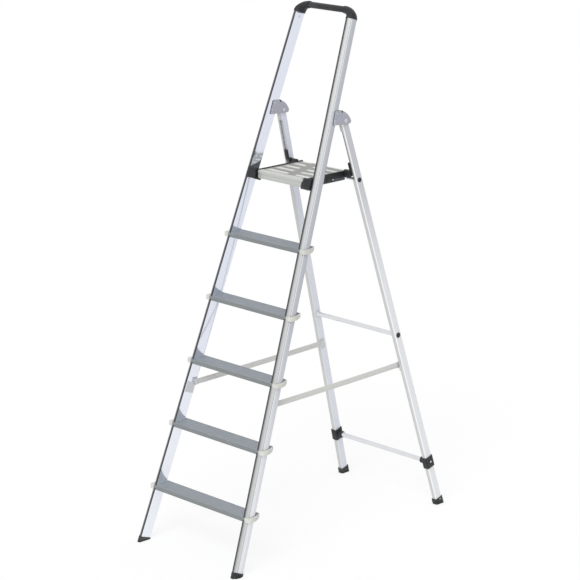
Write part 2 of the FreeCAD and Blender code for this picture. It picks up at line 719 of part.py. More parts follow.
def side_cap():
    """Moulded side cheek of the platform, with a notch over the rest bar."""
    outer = DECK_HALF_WIDTH
    inner = DECK_HALF_WIDTH - CAP_THICKNESS + SNUG
    low = DECK_TOP - CAP_HEIGHT
    y = leg_y(REST_BAR_HEIGHT)
    radius = REST_BAR_RADIUS + RUNNING
    cheek = rounded_box(inner, outer, DECK_FRONT_Y + 2.0, DECK_REAR_Y + 4.0,
                        low, DECK_TOP + CAP_RISE, 3.0, X_AXIS)
    notch = rod(radius, V(inner - 1, y, REST_BAR_HEIGHT), V(outer + 1, y, REST_BAR_HEIGHT))
    mouth = box(inner - 1, outer + 1, y - radius - REST_BAR_EXIT, y + radius,
                low - 1, REST_BAR_HEIGHT + REST_BAR_EXIT / 3)
    bore = pivot_rod(PIVOT_RADIUS + SNUG, inner - 1, outer + 1)
    return cheek.cut(notch).cut(mouth).cut(bore)


def cap_rivet():
    """Rivet head that holds the cheek to the deck."""
    y = DECK_FRONT_Y + 0.63 * (DECK_REAR_Y - DECK_FRONT_Y)
    start = V(DECK_HALF_WIDTH, y, DECK_TOP - CAP_HEIGHT * 0.7)
    return Part.makeCylinder(3.4, 1.4, start, X_AXIS)


def platform_bracket():
    """Moulded bearing block on the stile's inner face for the platform's pivot."""
    low = along_stile(DECK_TOP - CAP_HEIGHT + 2.0)
    reach = DECK_SIDE_GAP + CAP_THICKNESS
    rear = BRACKET_DEPTH - BRACKET_LEAD
    block = rounded_box(-reach, 0, -BRACKET_LEAD, rear, low, low + BRACKET_HEIGHT, 6.0, X_AXIS)
    block = placed(block, stile_frame())
    side = DECK_HALF_WIDTH + RUNNING
    behind_front = box(0, side, DECK_FRONT_Y - RUNNING, DECK_REAR_Y, DECK_TOP - 200, DECK_TOP + 200)
    swing = pivot_rod(CAP_HEIGHT + 8.0, 0, side)
    bore = pivot_rod(PIVOT_RADIUS + BORE_PLAY, 0, side + BRACKET_DEPTH)
    return block.cut(behind_front).cut(swing).cut(bore)


def platform_pivot():
    """Steel pin from the platform's cheek into the bearing block."""
    start = DECK_HALF_WIDTH - CAP_THICKNESS + SNUG
    return pivot_rod(PIVOT_RADIUS, start, inner_x(PLATFORM_PIVOT_Z) - 4.0)


def guide_arm():
    """Arm from the platform's rear corner out towards the guide shoe.

    Its tip stays clear of the stile when the folded platform stands upright.
    """
    top = DECK_TOP + ARM_ABOVE_DECK
    tip = inner_x(HINGE_HEIGHT) + 1.5
    rear = leg_y(DECK_TOP) - ARM_LEAD + ARM_WIDTH / 2
    return rounded_box(DECK_HALF_WIDTH + SNUG, tip, rear - ARM_WIDTH, rear,
                       top - ARM_HEIGHT, top, 4.0, X_AXIS)


def guide_shoe():
    """Moulded shoe that slides in the leg's corner slot, with a lug for the arm."""
    inner = -LEG_WIDTH / 2 - SHOE_STAND_OUT
    outer = -LEG_WIDTH / 2 + GUIDE_SLOT_WIDTH - RUNNING
    front = -LEG_DEPTH / 2 - SHOE_STAND_OUT
    rear = -LEG_DEPTH / 2 + GUIDE_SLOT_DEPTH - RUNNING
    low = -down_leg(DECK_TOP + SHOE_ABOVE_DECK)
    block = box(inner, outer, front, rear, low, low + SHOE_LENGTH)
    top = [e for e in block.Edges
           if abs(e.CenterOfMass.z - low - SHOE_LENGTH) < 0.01
           and abs(e.Vertexes[0].Point.y - e.Vertexes[1].Point.y) < 0.01]
    block = block.makeFillet(LEG_CORNER - 0.2, top)
    side = -LEG_WIDTH / 2 - RUNNING
    lug = box(side - LUG_LENGTH, side, front, front + LUG_DEPTH, low - LUG_HEIGHT + 4.0, low + 4.0)
    return placed(block.fuse(lug), leg_frame())


# ================================================================ straps
def strap_start():
    """Middle of the strap at the front anchor."""
    z = STRAP_FRONT_Z
    return V(inner_x(z) - STRAP_FRONT_INSET, front_y(z) + STILE_DEPTH + 1.0, z)


def strap_end():
    """Middle of the strap at the rear anchor."""
    z = STRAP_REAR_Z
    return V(leg_x(z) - LEG_WIDTH / 2 - STRAP_REAR_INSET, leg_y(z) - LEG_DEPTH / 2 - 5.0, z)


def strap():
    """Flat webbing strap, on edge, pulled straight between its anchors."""
    start = strap_start()
    end = strap_end()
    up = V(0, 0, STRAP_HEIGHT / 2)
    side = V(STRAP_THICKNESS / 2, 0, 0)
    corners = [start.sub(up).sub(side), start.add(up).sub(side),
               start.add(up).add(side), start.sub(up).add(side)]
    corners.append(corners[0])
    face = Part.Face(Part.makePolygon(corners))
    return face.extrude(end.sub(start))


def anchor_tab(at, side, near, far):
    """Tab that the strap butts on, and the web that carries it from the plate.

    The web stands at the end of the tab away from the strap.
    """
    half = TAB_THICKNESS / 2
    low = at.z - STRAP_HEIGHT / 2 - 1.0
    high = at.z + STRAP_HEIGHT / 2 + 1.0
    tab = box(at.x - half, at.x + half, min(near, far), max(near, far), low, high)
    inboard = far + math.copysign(TAB_THICKNESS / 2, near - far)
    web = box(at.x - half, side, min(far, inboard), max(far, inboard), low, high)
    return tab.fuse(web)


def front_anchor():
    """Folded steel anchor on the stile's inner face; the strap butts on its tab."""
    start = strap_start()
    centre = along_stile(STRAP_FRONT_Z) - ANCHOR_HALF_HEIGHT / 2
    base = placed(box(-ANCHOR_PLATE, 0, STILE_DEPTH * 0.1, STILE_DEPTH - 3.0,
                      centre - ANCHOR_HALF_HEIGHT, centre + ANCHOR_HALF_HEIGHT), stile_frame())
    tab = anchor_tab(start, inner_x(STRAP_FRONT_Z) + 0.5, start.y, start.y - TAB_LENGTH)
    stile_body = stile_bar(0, centre - 100, centre + 100)
    return base.fuse(tab).cut(placed(stile_body, stile_frame()))


def rear_anchor():
    """Folded steel anchor on the leg's inner face."""
    end = strap_end()
    face = -LEG_WIDTH / 2
    centre = -down_leg(STRAP_REAR_Z)
    base = placed(box(face - ANCHOR_PLATE, face, -LEG_DEPTH / 2 + 1.0, LEG_CORNER,
                      centre - ANCHOR_HALF_HEIGHT, centre + ANCHOR_HALF_HEIGHT), leg_frame())
    tab = anchor_tab(end, leg_x(STRAP_REAR_Z) + face + 1.0, end.y, end.y + TAB_LENGTH)
    leg_body = leg_bar(0, centre - 100, centre + 100)
    return base.fuse(tab).cut(placed(leg_body, leg_frame()))


# ================================================================ export
def save(name, shape):
    shape.exportStep("parts/" + name + ".step")
    print(name, shape.isValid(), len(shape.Solids), round(shape.Volume))


def save_pair(name, shape):
    save(name + "_right", shape)
    save(name + "_left", mirrored(shape))


def both_sides(shapes):
    return group(shapes + [mirrored(shape) for shape in shapes])


def main():
    os.makedirs("parts", exist_ok=True)
    passage = stile_cutter()
    save_pair("stile", stile())
    save_pair("front_foot", front_foot())
    for index in range(STEP_COUNT):
        save("step_" + str(index + 1), step(index, passage))
    save_pair("step_collars", group([collar(index, passage) for index in range(STEP_COUNT)]))
    save("step_rivets", both_sides([step_rivet(index) for index in range(STEP_COUNT)]))
    save("front_foot_rivets", both_sides([front_foot_rivet()]))
    save("hoop_bar", hoop_bar())
    save_pair("hoop_corner", hoop_corner())
    save("hoop_screws", both_sides([hoop_screw()]))
    save_pair("hinge_plate_inner", inner_plate())
    save_pair("hinge_plate_outer", outer_plate())
    save_pair("hinge_bolt", hinge_bolt())
    save_pair("stop_pin", stop_pin())
    save("hinge_rivets", both_sides(hinge_rivets()))
    save_pair("rear_leg", rear_leg())
    save("upper_crossbar", cross_tube(UPPER_BAR_RADIUS, UPPER_BAR_HEIGHT,
                                      through_half(UPPER_BAR_HEIGHT)))
    save("crossbar_sleeves", both_sides([bar_sleeve(UPPER_BAR_RADIUS, UPPER_BAR_HEIGHT)]))
    save("crossbar_plugs", both_sides([bar_plug(UPPER_BAR_RADIUS, UPPER_BAR_HEIGHT)]))
    save("lower_crossbar", cross_tube(LOWER_BAR_RADIUS, LOWER_BAR_HEIGHT,
                                      leg_x(LOWER_BAR_HEIGHT) - LEG_WIDTH / 2 - CLAMP_WALL))
    save_pair("lower_clamp", lower_clamp())
    save("clamp_rivets", both_sides([clamp_rivet()]))
    save("rest_bar", cross_tube(REST_BAR_RADIUS, REST_BAR_HEIGHT, through_half(REST_BAR_HEIGHT)))
    save("rest_bar_plugs", both_sides([bar_plug(REST_BAR_RADIUS, REST_BAR_HEIGHT)]))
    save_pair("rear_foot", rear_foot())
    save("rear_foot_rivets", both_sides([rear_foot_rivet()]))
    save("deck", deck())
    save("nosing", nosing())
    save_pair("side_cap", side_cap())
    save("side_cap_rivets", both_sides([cap_rivet()]))
    save_pair("platform_bracket", platform_bracket())
    save_pair("platform_pivot", platform_pivot())
    save_pair("guide_arm", guide_arm())
    save_pair("guide_shoe", guide_shoe())
    save_pair("strap", strap())
    save_pair("strap_anchor_front", front_anchor())
    save_pair("strap_anchor_rear", rear_anchor())


main()
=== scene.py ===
import math

import bmesh
import bpy
import numpy as np
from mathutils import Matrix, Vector


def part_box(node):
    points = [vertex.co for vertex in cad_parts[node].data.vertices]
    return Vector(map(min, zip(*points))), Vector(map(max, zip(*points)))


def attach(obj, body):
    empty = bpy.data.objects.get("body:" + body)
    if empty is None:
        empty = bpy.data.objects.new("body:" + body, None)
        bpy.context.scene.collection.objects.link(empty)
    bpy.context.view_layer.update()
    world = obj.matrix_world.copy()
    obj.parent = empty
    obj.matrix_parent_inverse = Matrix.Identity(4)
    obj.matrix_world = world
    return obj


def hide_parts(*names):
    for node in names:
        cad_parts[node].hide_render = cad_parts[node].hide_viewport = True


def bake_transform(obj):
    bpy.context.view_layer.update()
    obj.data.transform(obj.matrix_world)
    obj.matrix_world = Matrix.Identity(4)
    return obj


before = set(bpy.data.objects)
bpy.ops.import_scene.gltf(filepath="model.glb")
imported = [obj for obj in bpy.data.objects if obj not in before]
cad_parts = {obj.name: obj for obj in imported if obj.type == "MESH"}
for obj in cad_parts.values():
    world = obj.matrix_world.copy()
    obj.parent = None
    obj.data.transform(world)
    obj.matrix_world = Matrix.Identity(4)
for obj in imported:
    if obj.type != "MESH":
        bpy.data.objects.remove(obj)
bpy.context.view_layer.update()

bl_info = {
    "name": "Platform step ladder",
    "version": (1, 0, 0),
    "blender": (4, 5, 0),
    "location": "3D View > Sidebar > Ladder",
    "description": "Builds the visible pieces of a folding platform step ladder on its CAD frame",
    "category": "Add Mesh",
}

# The ladder's layout, in metres, in the frame's axes: +X across, +Y to the rear legs, +Z up.
MM = 0.001
STILE_LEAN = math.radians(20.0)
LEG_LEAN = math.radians(16.1)
SPLAY = math.radians(3.35)
FRONT_FLOOR_Y = -0.5758
FLOOR_HALF_WIDTH = 0.2525
STEP_TOPS = [0.214 + 0.235 * index for index in range(5)]
STEP_LIP = 16 * MM
DECK_TOP = 1.392
HINGE_HEIGHT = 1.598
STILE_TOP = 1.972
HOOP_RISE = 30 * MM
HOOP_RUN = 51 * MM
HOOP_HALF_DEPTH = 15 * MM
HOOP_HALF_THICKNESS = 11.75 * MM
STILE_DEPTH = 49 * MM
STILE_WIDTH = 24.3 * MM
FOOT_RISE = 24 * MM
PLATE_GAP = 24.6 * MM
PLATE_THICKNESS = 3 * MM
LEG_HALF_WIDTH = 10.25 * MM

# The camera looks down a little from the right of the steps.
CAMERA_PLACE = (6.0148, -5.9875, 3.2220)
CAMERA_AIM = (0, -0.019, 0.9384)
CAMERA_LENS = 143.69  # millimetres


# ---------------------------------------------------------------- places on the ladder
def front_y(z):
    """Y of the stile's front face at height z."""
    return FRONT_FLOOR_Y + z * math.tan(STILE_LEAN)


def inner_x(z):
    """X of the right stile's inner face at height z, on its front edge."""
    return FLOOR_HALF_WIDTH - z * math.tan(SPLAY) / math.cos(STILE_LEAN)


def along_stile(z):
    """Distance up the stile's front edge to height z."""
    return z / math.cos(SPLAY) / math.cos(STILE_LEAN)


def down_leg(z):
    """Distance down the leg's middle line to height z."""
    return (HINGE_HEIGHT - z) / math.cos(SPLAY) / math.cos(LEG_LEAN)


def leaning_axes(lean):
    """Rows outward, backward and upward of a member that leans and splays."""
    up = (-math.sin(SPLAY), math.cos(SPLAY) * math.sin(lean), math.cos(SPLAY) * math.cos(lean))
    out = (math.cos(SPLAY), math.sin(SPLAY) * math.sin(lean), math.sin(SPLAY) * math.cos(lean))
    back = (0.0, math.cos(lean), -math.sin(lean))
    return np.array([out, back, up])


class Place:
    """A member's own axes: turns points (outward, backward, upward) into the ladder's frame."""

    def __init__(self, axes, origin):
        self.axes = np.asarray(axes, float)
        self.origin = np.asarray(origin, float)

    def __call__(self, points):
        return np.asarray(points, float) @ self.axes + self.origin


STILE = Place(leaning_axes(STILE_LEAN), (FLOOR_HALF_WIDTH, FRONT_FLOOR_Y, 0))
HINGE_Y = front_y(HINGE_HEIGHT) + 82.5 * MM / math.cos(STILE_LEAN)
HINGE_RUN = (HINGE_Y - FRONT_FLOOR_Y) * math.sin(STILE_LEAN) + HINGE_HEIGHT * math.cos(STILE_LEAN)
HINGE_X = FLOOR_HALF_WIDTH - HINGE_RUN * math.tan(SPLAY) + PLATE_GAP / 2 / math.cos(SPLAY)
LEG = Place(leaning_axes(-LEG_LEAN), (HINGE_X, HINGE_Y, HINGE_HEIGHT))
LEVEL = Place(np.eye(3), (0, 0, 0))


def leg_y(z):
    """Y of the rear leg's middle line at height z."""
    return HINGE_Y + (HINGE_HEIGHT - z) * math.tan(LEG_LEAN)


def leg_x(z):
    """X of the right rear leg's middle line at height z."""
    return HINGE_X + (HINGE_HEIGHT - z) * math.tan(SPLAY) / math.cos(LEG_LEAN)


def by_hinge(rearward, up):
    """Stile's (backward, upward) coordinates of a point given from the fold hinge."""
    y = HINGE_Y + rearward - FRONT_FLOOR_Y
    z = HINGE_HEIGHT + up
    depth = y * math.cos(STILE_LEAN) - z * math.sin(STILE_LEAN)
    height = (y * math.sin(STILE_LEAN) + z * math.cos(STILE_LEAN)) / math.cos(SPLAY)
    return depth, height


# ---------------------------------------------------------------- outlines
def rounded(corners, radii, steps=5):
    """Closed outline of a polygon whose corners are arcs tangent to both sides.

    The arc's centre lies on the corner's bisector, radius / sin(half angle) away, and its
    points are the spherical mean of the two radii to the tangent points.
    """
    corners = np.asarray(corners, float)
    radii = np.broadcast_to(np.asarray(radii, float), len(corners))[:, None]
    before = np.roll(corners, 1, axis=0) - corners
    after = np.roll(corners, -1, axis=0) - corners
    before = before / np.linalg.norm(before, axis=1, keepdims=True)
    after = after / np.linalg.norm(after, axis=1, keepdims=True)
    half = 0.5 * np.arccos(np.clip((before * after).sum(1, keepdims=True), -1, 1))
    reach = radii / np.tan(half)
    turn = np.maximum(math.pi - 2 * half, 1e-4)
    bisector = before + after
    length = np.maximum(np.linalg.norm(bisector, axis=1, keepdims=True), 1e-9)
    straight = length < 1e-3
    centre = corners + np.where(straight, 0, bisector / length * radii / np.sin(half))
    start = corners + before * reach - centre
    end = corners + after * reach - centre
    share = np.linspace(0, 1, steps)[None, :, None]
    turn = turn[:, None, :]
    points = start[:, None] * np.sin((1 - share) * turn) + end[:, None] * np.sin(share * turn)
    points = centre[:, None] + points / np.sin(turn)
    return points.reshape(-1, 2)


def arc_through(a, b, c, count):
    """Points on the circle through a, b and c, from a to c."""
    a, b, c = (np.asarray(p, float) for p in (a, b, c))
    sides = 2 * np.array([b - a, c - a])
    centre = np.linalg.solve(sides, [b @ b - a @ a, c @ c - a @ a])
    first = math.atan2(*(a - centre)[::-1])
    middle = (math.atan2(*(b - centre)[::-1]) - first) % (2 * math.pi)
    last = (math.atan2(*(c - centre)[::-1]) - first) % (2 * math.pi)
    if middle > last:
        last -= 2 * math.pi
    angles = first + np.linspace(0, last, count)
    radius = np.linalg.norm(a - centre)
    return centre + radius * np.stack([np.cos(angles), np.sin(angles)], 1)


def shrunk(outline, distance):
    """Outline moved inward by a distance, along the mean of each point's two side normals."""
    gap = np.roll(outline, -1, axis=0) - outline
    gap = gap / np.maximum(np.linalg.norm(gap, axis=1, keepdims=True), 1e-9)
    normal = np.stack([-gap[:, 1], gap[:, 0]], 1)
    normal = normal + np.roll(normal, 1, axis=0)
    normal = normal / np.maximum((normal ** 2).sum(1, keepdims=True), 0.6) * 2
    x, y = outline.T
    area = (x * np.roll(y, -1) - y * np.roll(x, -1)).sum()
    return outline + normal * distance * math.copysign(1, area)


def circle(radius, count, squash=1.0):
    """Circle, or an ellipse when squash isn't 1."""
    angle = np.linspace(0, 2 * math.pi, count, endpoint=False)
    return radius * np.stack([np.cos(angle) * squash, np.sin(angle)], 1)


# ---------------------------------------------------------------- surfaces
def prism(outline, low, high, edge, steps=4):
    """Rings of a bar with quarter-round end edges.

    At angle a of the rounding the outline is shrunk by edge * (1 - sin a) and stands
    edge * (1 - cos a) in from the end.
    """
    angle = np.linspace(0, math.pi / 2, steps)
    inward = edge * (1 - np.sin(angle))
    rise = edge * (1 - np.cos(angle))
    rings = [np.column_stack([shrunk(outline, d), np.full(len(outline), low + h)])
             for d, h in zip(inward, rise)]
    rings += [np.column_stack([shrunk(outline, d), np.full(len(outline), high - h)])
              for d, h in zip(inward[::-1], rise[::-1])]
    return np.array(rings)


def sideways(rings):
    """Rings drawn in (backward, upward) and run along the outward axis."""
    return rings[..., [2, 0, 1]]


def turned(profile, count=32):
    """Rings of a turned piece: profile rows are (radius, distance along the axis)."""
    profile = np.asarray(profile, float)
    round_ = circle(1.0, count)
    rings = profile[:, None, :1] * round_[None]
    height = np.broadcast_to(profile[:, None, 1:], rings.shape[:2] + (1,))
    return np.concatenate([rings, height], axis=2)


def aimed(rings, start, direction):
    """Turned rings put with their axis along a direction, from a start point."""
    direction = np.asarray(direction, float)
    direction = direction / np.linalg.norm(direction)
    helper = np.array([0, 0, 1.0]) if abs(direction[2]) < 0.9 else np.array([0, 1.0, 0])
    side = np.cross(helper, direction)
    side = side / np.linalg.norm(side)
    other = np.cross(direction, side)
    return rings @ np.array([side, other, direction]) + np.asarray(start, float)


def dome(radius, height, skirt=0.25, steps=7):
    """Profile of a low head: a short straight skirt, then a quarter ellipse to a small flat."""
    angle = np.linspace(0, math.radians(84), steps)
    skirt_height = height * skirt
    curve = np.stack([radius * np.cos(angle),
                      skirt_height + (height - skirt_height) * np.sin(angle)], 1)
    return np.vstack([[radius, 0.0], curve])


class Shape:
    """Collects closed lofted surfaces and makes one mesh object of them."""

    def __init__(self):
        self.points = []
        self.faces = []
        self.count = 0

    def loft(self, rings, mirror=False):
        """Skin between rings of equal length, a flat cap on each end, faces outward."""
        rings = np.asarray(rings, float)
        if mirror:
            rings = rings * np.array([-1.0, 1.0, 1.0])
        rows, size = rings.shape[:2]
        index = np.arange(rows * size).reshape(rows, size)
        ahead = np.roll(index, -1, axis=1)
        quads = np.stack([index[:-1], ahead[:-1], ahead[1:], index[1:]], -1).reshape(-1, 4)
        points = rings.reshape(-1, 3)
        centred = points - points.mean(0)
        a, b, c, d = (centred[quads[:, k]] for k in range(4))
        volume = (np.cross(a, b) * c).sum() + (np.cross(a, c) * d).sum()
        for cap, sign in ((index[0][::-1], 1), (index[-1], 1)):
            fan = centred[cap]
            volume += sign * (np.cross(fan[1:-1], fan[2:]) @ fan[0]).sum()
        caps = [index[0][::-1], index[-1]]
        faces = quads.tolist() + [cap.tolist() for cap in caps]
        if volume < 0:
            faces = [face[::-1] for face in faces]
        self.faces += [[k + self.count for k in face] for face in faces]
        self.points.append(points)
        self.count += len(points)
        return self

    def pair(self, rings):
        """The same surface on the right and, mirrored, on the left."""
        return self.loft(rings).loft(rings, mirror=True)

    def mesh(self, name):
        mesh = bpy.data.meshes.new(name)
        mesh.from_pydata(np.concatenate(self.points).tolist(), [], self.faces)
        mesh.validate()
        return mesh

    def build(self, name, material, body, nodes):
        """Object of the collected surfaces, riding on a body in place of CAD nodes."""
        piece = bpy.data.objects.new(name, self.mesh(name))
        bpy.context.scene.collection.objects.link(piece)
        dress(piece, material, body, nodes)
        return piece


def smooth(mesh, angle=35):
    """Smooth shading, with edges sharper than the angle kept crisp."""
    mesh.shade_smooth()
    mesh.set_sharp_from_angle(angle=math.radians(angle))


def dress(piece, material, body, nodes):
    """Material, shading, body and CAD nodes of a finished piece; no body if it bridges two."""
    piece.data.materials.clear()
    piece.data.materials.append(material)
    smooth(piece.data)
    if body:
        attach(piece, body)
    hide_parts(*nodes)


def applied(piece):
    """Replaces a piece's mesh by what its modifiers make of it."""
    graph = bpy.context.evaluated_depsgraph_get()
    mesh = bpy.data.meshes.new_from_object(piece.evaluated_get(graph))
    piece.modifiers.clear()
    old = piece.data
    piece.data = mesh
    bpy.data.meshes.remove(old)
    mesh.name = piece.name


def cut_away(piece, cutter):
    """Takes the cutter's volume out of a piece."""
    modifier = piece.modifiers.new("passage", "BOOLEAN")
    modifier.operation = "DIFFERENCE"
    modifier.object = cutter
    modifier.solver = "EXACT"
    applied(piece)


def softened(node, width, material, body, segments=3):
    """Copy of a CAD node with its flat faces joined and its edges rounded."""
    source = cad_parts[node]
    mesh = source.data.copy()
    work = bmesh.new()
    work.from_mesh(mesh)
    bmesh.ops.remove_doubles(work, verts=work.verts, dist=2e-6)
    bmesh.ops.dissolve_limit(work, angle_limit=math.radians(2), verts=work.verts,
                             edges=work.edges)
    work.to_mesh(mesh)
    work.free()
    piece = bpy.data.objects.new(node + "_moulded", mesh)
    bpy.context.scene.collection.objects.link(piece)
    bevel = piece.modifiers.new("edges", "BEVEL")
    bevel.width = width
    bevel.segments = segments
    bevel.limit_method = "ANGLE"
    bevel.angle_limit = math.radians(38)
    bevel.use_clamp_overlap = True
    applied(piece)
    dress(piece, material, body, [node])
    return piece


# ---------------------------------------------------------------- surface finishes
class Value:
    """A number that varies over a surface; arithmetic on it adds Math nodes."""

    def __init__(self, finish, socket):
        self.finish = finish
        self.socket = socket

    def joined(self, operation, first, second):
        node = self.finish.add("ShaderNodeMath", {"operation": operation}, {0: first, 1: second})
        return Value(self.finish, node.outputs[0])

    def __add__(self, other):
        return self.joined("ADD", self, other)

    def __sub__(self, other):
        return self.joined("SUBTRACT", self, other)

    def __rsub__(self, other):
        return self.joined("SUBTRACT", other, self)

    def __mul__(self, other):
        return self.joined("MULTIPLY", self, other)

    __radd__ = __add__
    __rmul__ = __mul__

    def magnitude(self):
        return self.joined("ABSOLUTE", self, 0.0)

    def step(self, low, high):
        """0 below low, 1 above high, smooth between; the other way round if high < low."""
        node = self.finish.add(
            "ShaderNodeMapRange", {"interpolation_type": "SMOOTHSTEP"},
            {"Value": self, "From Min": min(low, high), "From Max": max(low, high),
             "To Min": 0.0 if low < high else 1.0, "To Max": 1.0 if low < high else 0.0})
        return Value(self.finish, node.outputs[0])


class Finish:
    """One material: a principled shader and the nodes that feed it."""

    def __init__(self, name, **constants):
        self.material = bpy.data.materials.new(name)
        self.material.use_nodes = True
        self.tree = self.material.node_tree
        self.shader = self.tree.nodes["Principled BSDF"]
        for key, value in constants.items():
            self.shader.inputs[key.replace("_", " ")].default_value = value
        self.point = self.add("ShaderNodeTexCoord").outputs["Object"]

    def add(self, kind, settings=None, inputs=None):
        """Any node: its settings first, then its sockets' values or links."""
        node = self.tree.nodes.new(kind)
        for key, value in (settings or {}).items():
            setattr(node, key, value)
        for key, value in (inputs or {}).items():
            if isinstance(value, Value):
                value = value.socket
            if isinstance(value, bpy.types.NodeSocket):
                self.tree.links.new(value, node.inputs[key])
            else:
                node.inputs[key].default_value = value
        return node

    def feed(self, name, value):
        socket = value.socket if isinstance(value, Value) else value
        self.tree.links.new(socket, self.shader.inputs[name])

    def parts(self, vector):
        """The three numbers of a vector."""
        node = self.add("ShaderNodeSeparateXYZ", None, {0: vector})
        return [Value(self, socket) for socket in node.outputs]

    def vector(self, x, y, z):
        return self.add("ShaderNodeCombineXYZ", None, {0: x, 1: y, 2: z}).outputs[0]

    def member_parts(self, place):
        """Outward, backward and upward distances in a member's axes, the same on both sides."""
        x, y, z = self.parts(self.point)
        here = self.vector(x.magnitude(), y, z)
        local = self.add("ShaderNodeVectorMath", {"operation": "SUBTRACT"},
                         {0: here, 1: tuple(place.origin)}).outputs[0]
        distances = []
        for axis in place.axes:
            node = self.add("ShaderNodeVectorMath", {"operation": "DOT_PRODUCT"},
                            {0: local, 1: tuple(axis)})
            distances.append(Value(self, node.outputs["Value"]))
        return distances

    def noise(self, vector, scale, detail=2.0, roughness=0.5):
        node = self.add("ShaderNodeTexNoise", None,
                        {"Vector": vector, "Scale": scale, "Detail": detail,
                         "Roughness": roughness})
        return Value(self, node.outputs[0])

    def mix(self, factor, first, second):
        """Colour between two colours."""
        node = self.add("ShaderNodeMix", {"data_type": "RGBA"}, {0: factor, 6: first, 7: second})
        return node.outputs[2]

    def tone(self, colour, amount):
        """Colour multiplied by a number that varies."""
        grey = self.add("ShaderNodeCombineColor", None, {0: amount, 1: amount, 2: amount})
        node = self.add("ShaderNodeMix", {"data_type": "RGBA", "blend_type": "MULTIPLY"},
                        {0: 1.0, 6: colour, 7: grey.outputs[0]})
        return node.outputs[2]

    def bands(self, value, stops):
        """Colour ramp: stops are (position, colour)."""
        node = self.add("ShaderNodeValToRGB", None, {0: value})
        ramp = node.color_ramp
        while len(ramp.elements) < len(stops):
            ramp.elements.new(0.5)
        for element, (position, colour) in zip(ramp.elements, sorted(stops, key=lambda s: s[0])):
            element.position = position
            element.color = colour
        return node.outputs[0]

    def bump(self, height, distance, strength=1.0):
        node = self.add("ShaderNodeBump", None,
                        {"Strength": strength, "Distance": distance, "Height": height})
        self.feed("Normal", node.outputs[0])


def shade(red, green, blue):
    """Colour written as display values from 0 to 255."""
    values = [c / 255 for c in (red, green, blue)]
    return tuple(c / 12.92 if c <= 0.04045 else ((c + 0.055) / 1.055) ** 2.4
                 for c in values) + (1.0,)


def solid(colour):
    return tuple(colour)[:3] + (1.0,)


def drawn_lines(finish, across, back, along):
    """Die lines of a drawn section: noise stretched two hundred times along its length."""
    fine = finish.noise(finish.vector(across, back, along * 0.005), 1400.0, 3.0, 0.6)
    broad = finish.noise(finish.vector(across, back, along * 0.01), 160.0, 2.0)
    return fine, broad


def handling_marks(finish, scale=14.0):
    """Large soft patches where hands and boots have dulled the surface."""
    return finish.noise(finish.point, scale, 4.0, 0.6)


def stile_finish(colours):
    """Anodised stile with painted light: a dark front flat and a shaded slant painted as
    reflection and shade, a bright ridge line painted as a highlight, sides painted lighter
    towards the bottom, and a mirror inner face painted brighter towards the bottom.
    """
    finish = Finish("anodised_stile")
    across, back, along = finish.member_parts(STILE)
    fine, broad = drawn_lines(finish, across, back, along)
    # The sides are painted a lavender-grey that turns lighter towards the bottom: a painted
    # reflection.
    low = along.step(1.1, 0.2)
    side = finish.mix(low, shade(190, 192, 200), shade(230, 232, 238))
    # Painted reflection and shade across the front: the front flat is painted dark and lightens
    # towards the slant, the slant is painted from mid to light grey, and a grey line marks the
    # ridge.
    front = finish.bands(across * 40.0, [
        (0.0, shade(40, 41, 43)), (0.17, shade(44, 45, 48)), (0.25, shade(96, 97, 101)),
        (0.42, shade(142, 143, 146)), (0.44, shade(178, 179, 180)), (0.62, shade(196, 198, 198)),
        (0.76, shade(204, 206, 206)), (0.79, shade(150, 151, 155)), (0.83, shade(176, 178, 184))])
    # Painted highlight on the ridge: a grey line, then a white line, then the side's grey.
    ridge = finish.bands(back * 40.0, [
        (0.40, shade(120, 121, 126)), (0.44, shade(252, 252, 254)), (0.52, shade(250, 250, 253)),
        (0.56, shade(196, 198, 206))])
    outer = finish.mix(back.step(0.0102, 0.0108), front, ridge)
    outer = finish.mix(back.step(0.0138, 0.0146), outer, side)
    # Inner face: the metal's colour, painted brighter towards the bottom as a reflection.
    inner = finish.mix(low, solid(colours.aluminium), shade(240, 242, 250))
    on_inner = across.step(0.0012, 0.0002) * back.step(0.0006, 0.0014)
    colour = finish.mix(on_inner, outer, inner)
    marks = handling_marks(finish)
    colour = finish.tone(colour, 0.97 + fine * 0.03 + broad * 0.015 + marks * 0.01)
    finish.feed("Base Color", colour)
    finish.feed("Roughness", 0.27 + fine * 0.05 + marks * 0.10 - on_inner * 0.24)
    finish.feed("Metallic", 0.2 + on_inner * 0.65)
    finish.bump(fine, 0.00001, 0.2)
    return finish.material


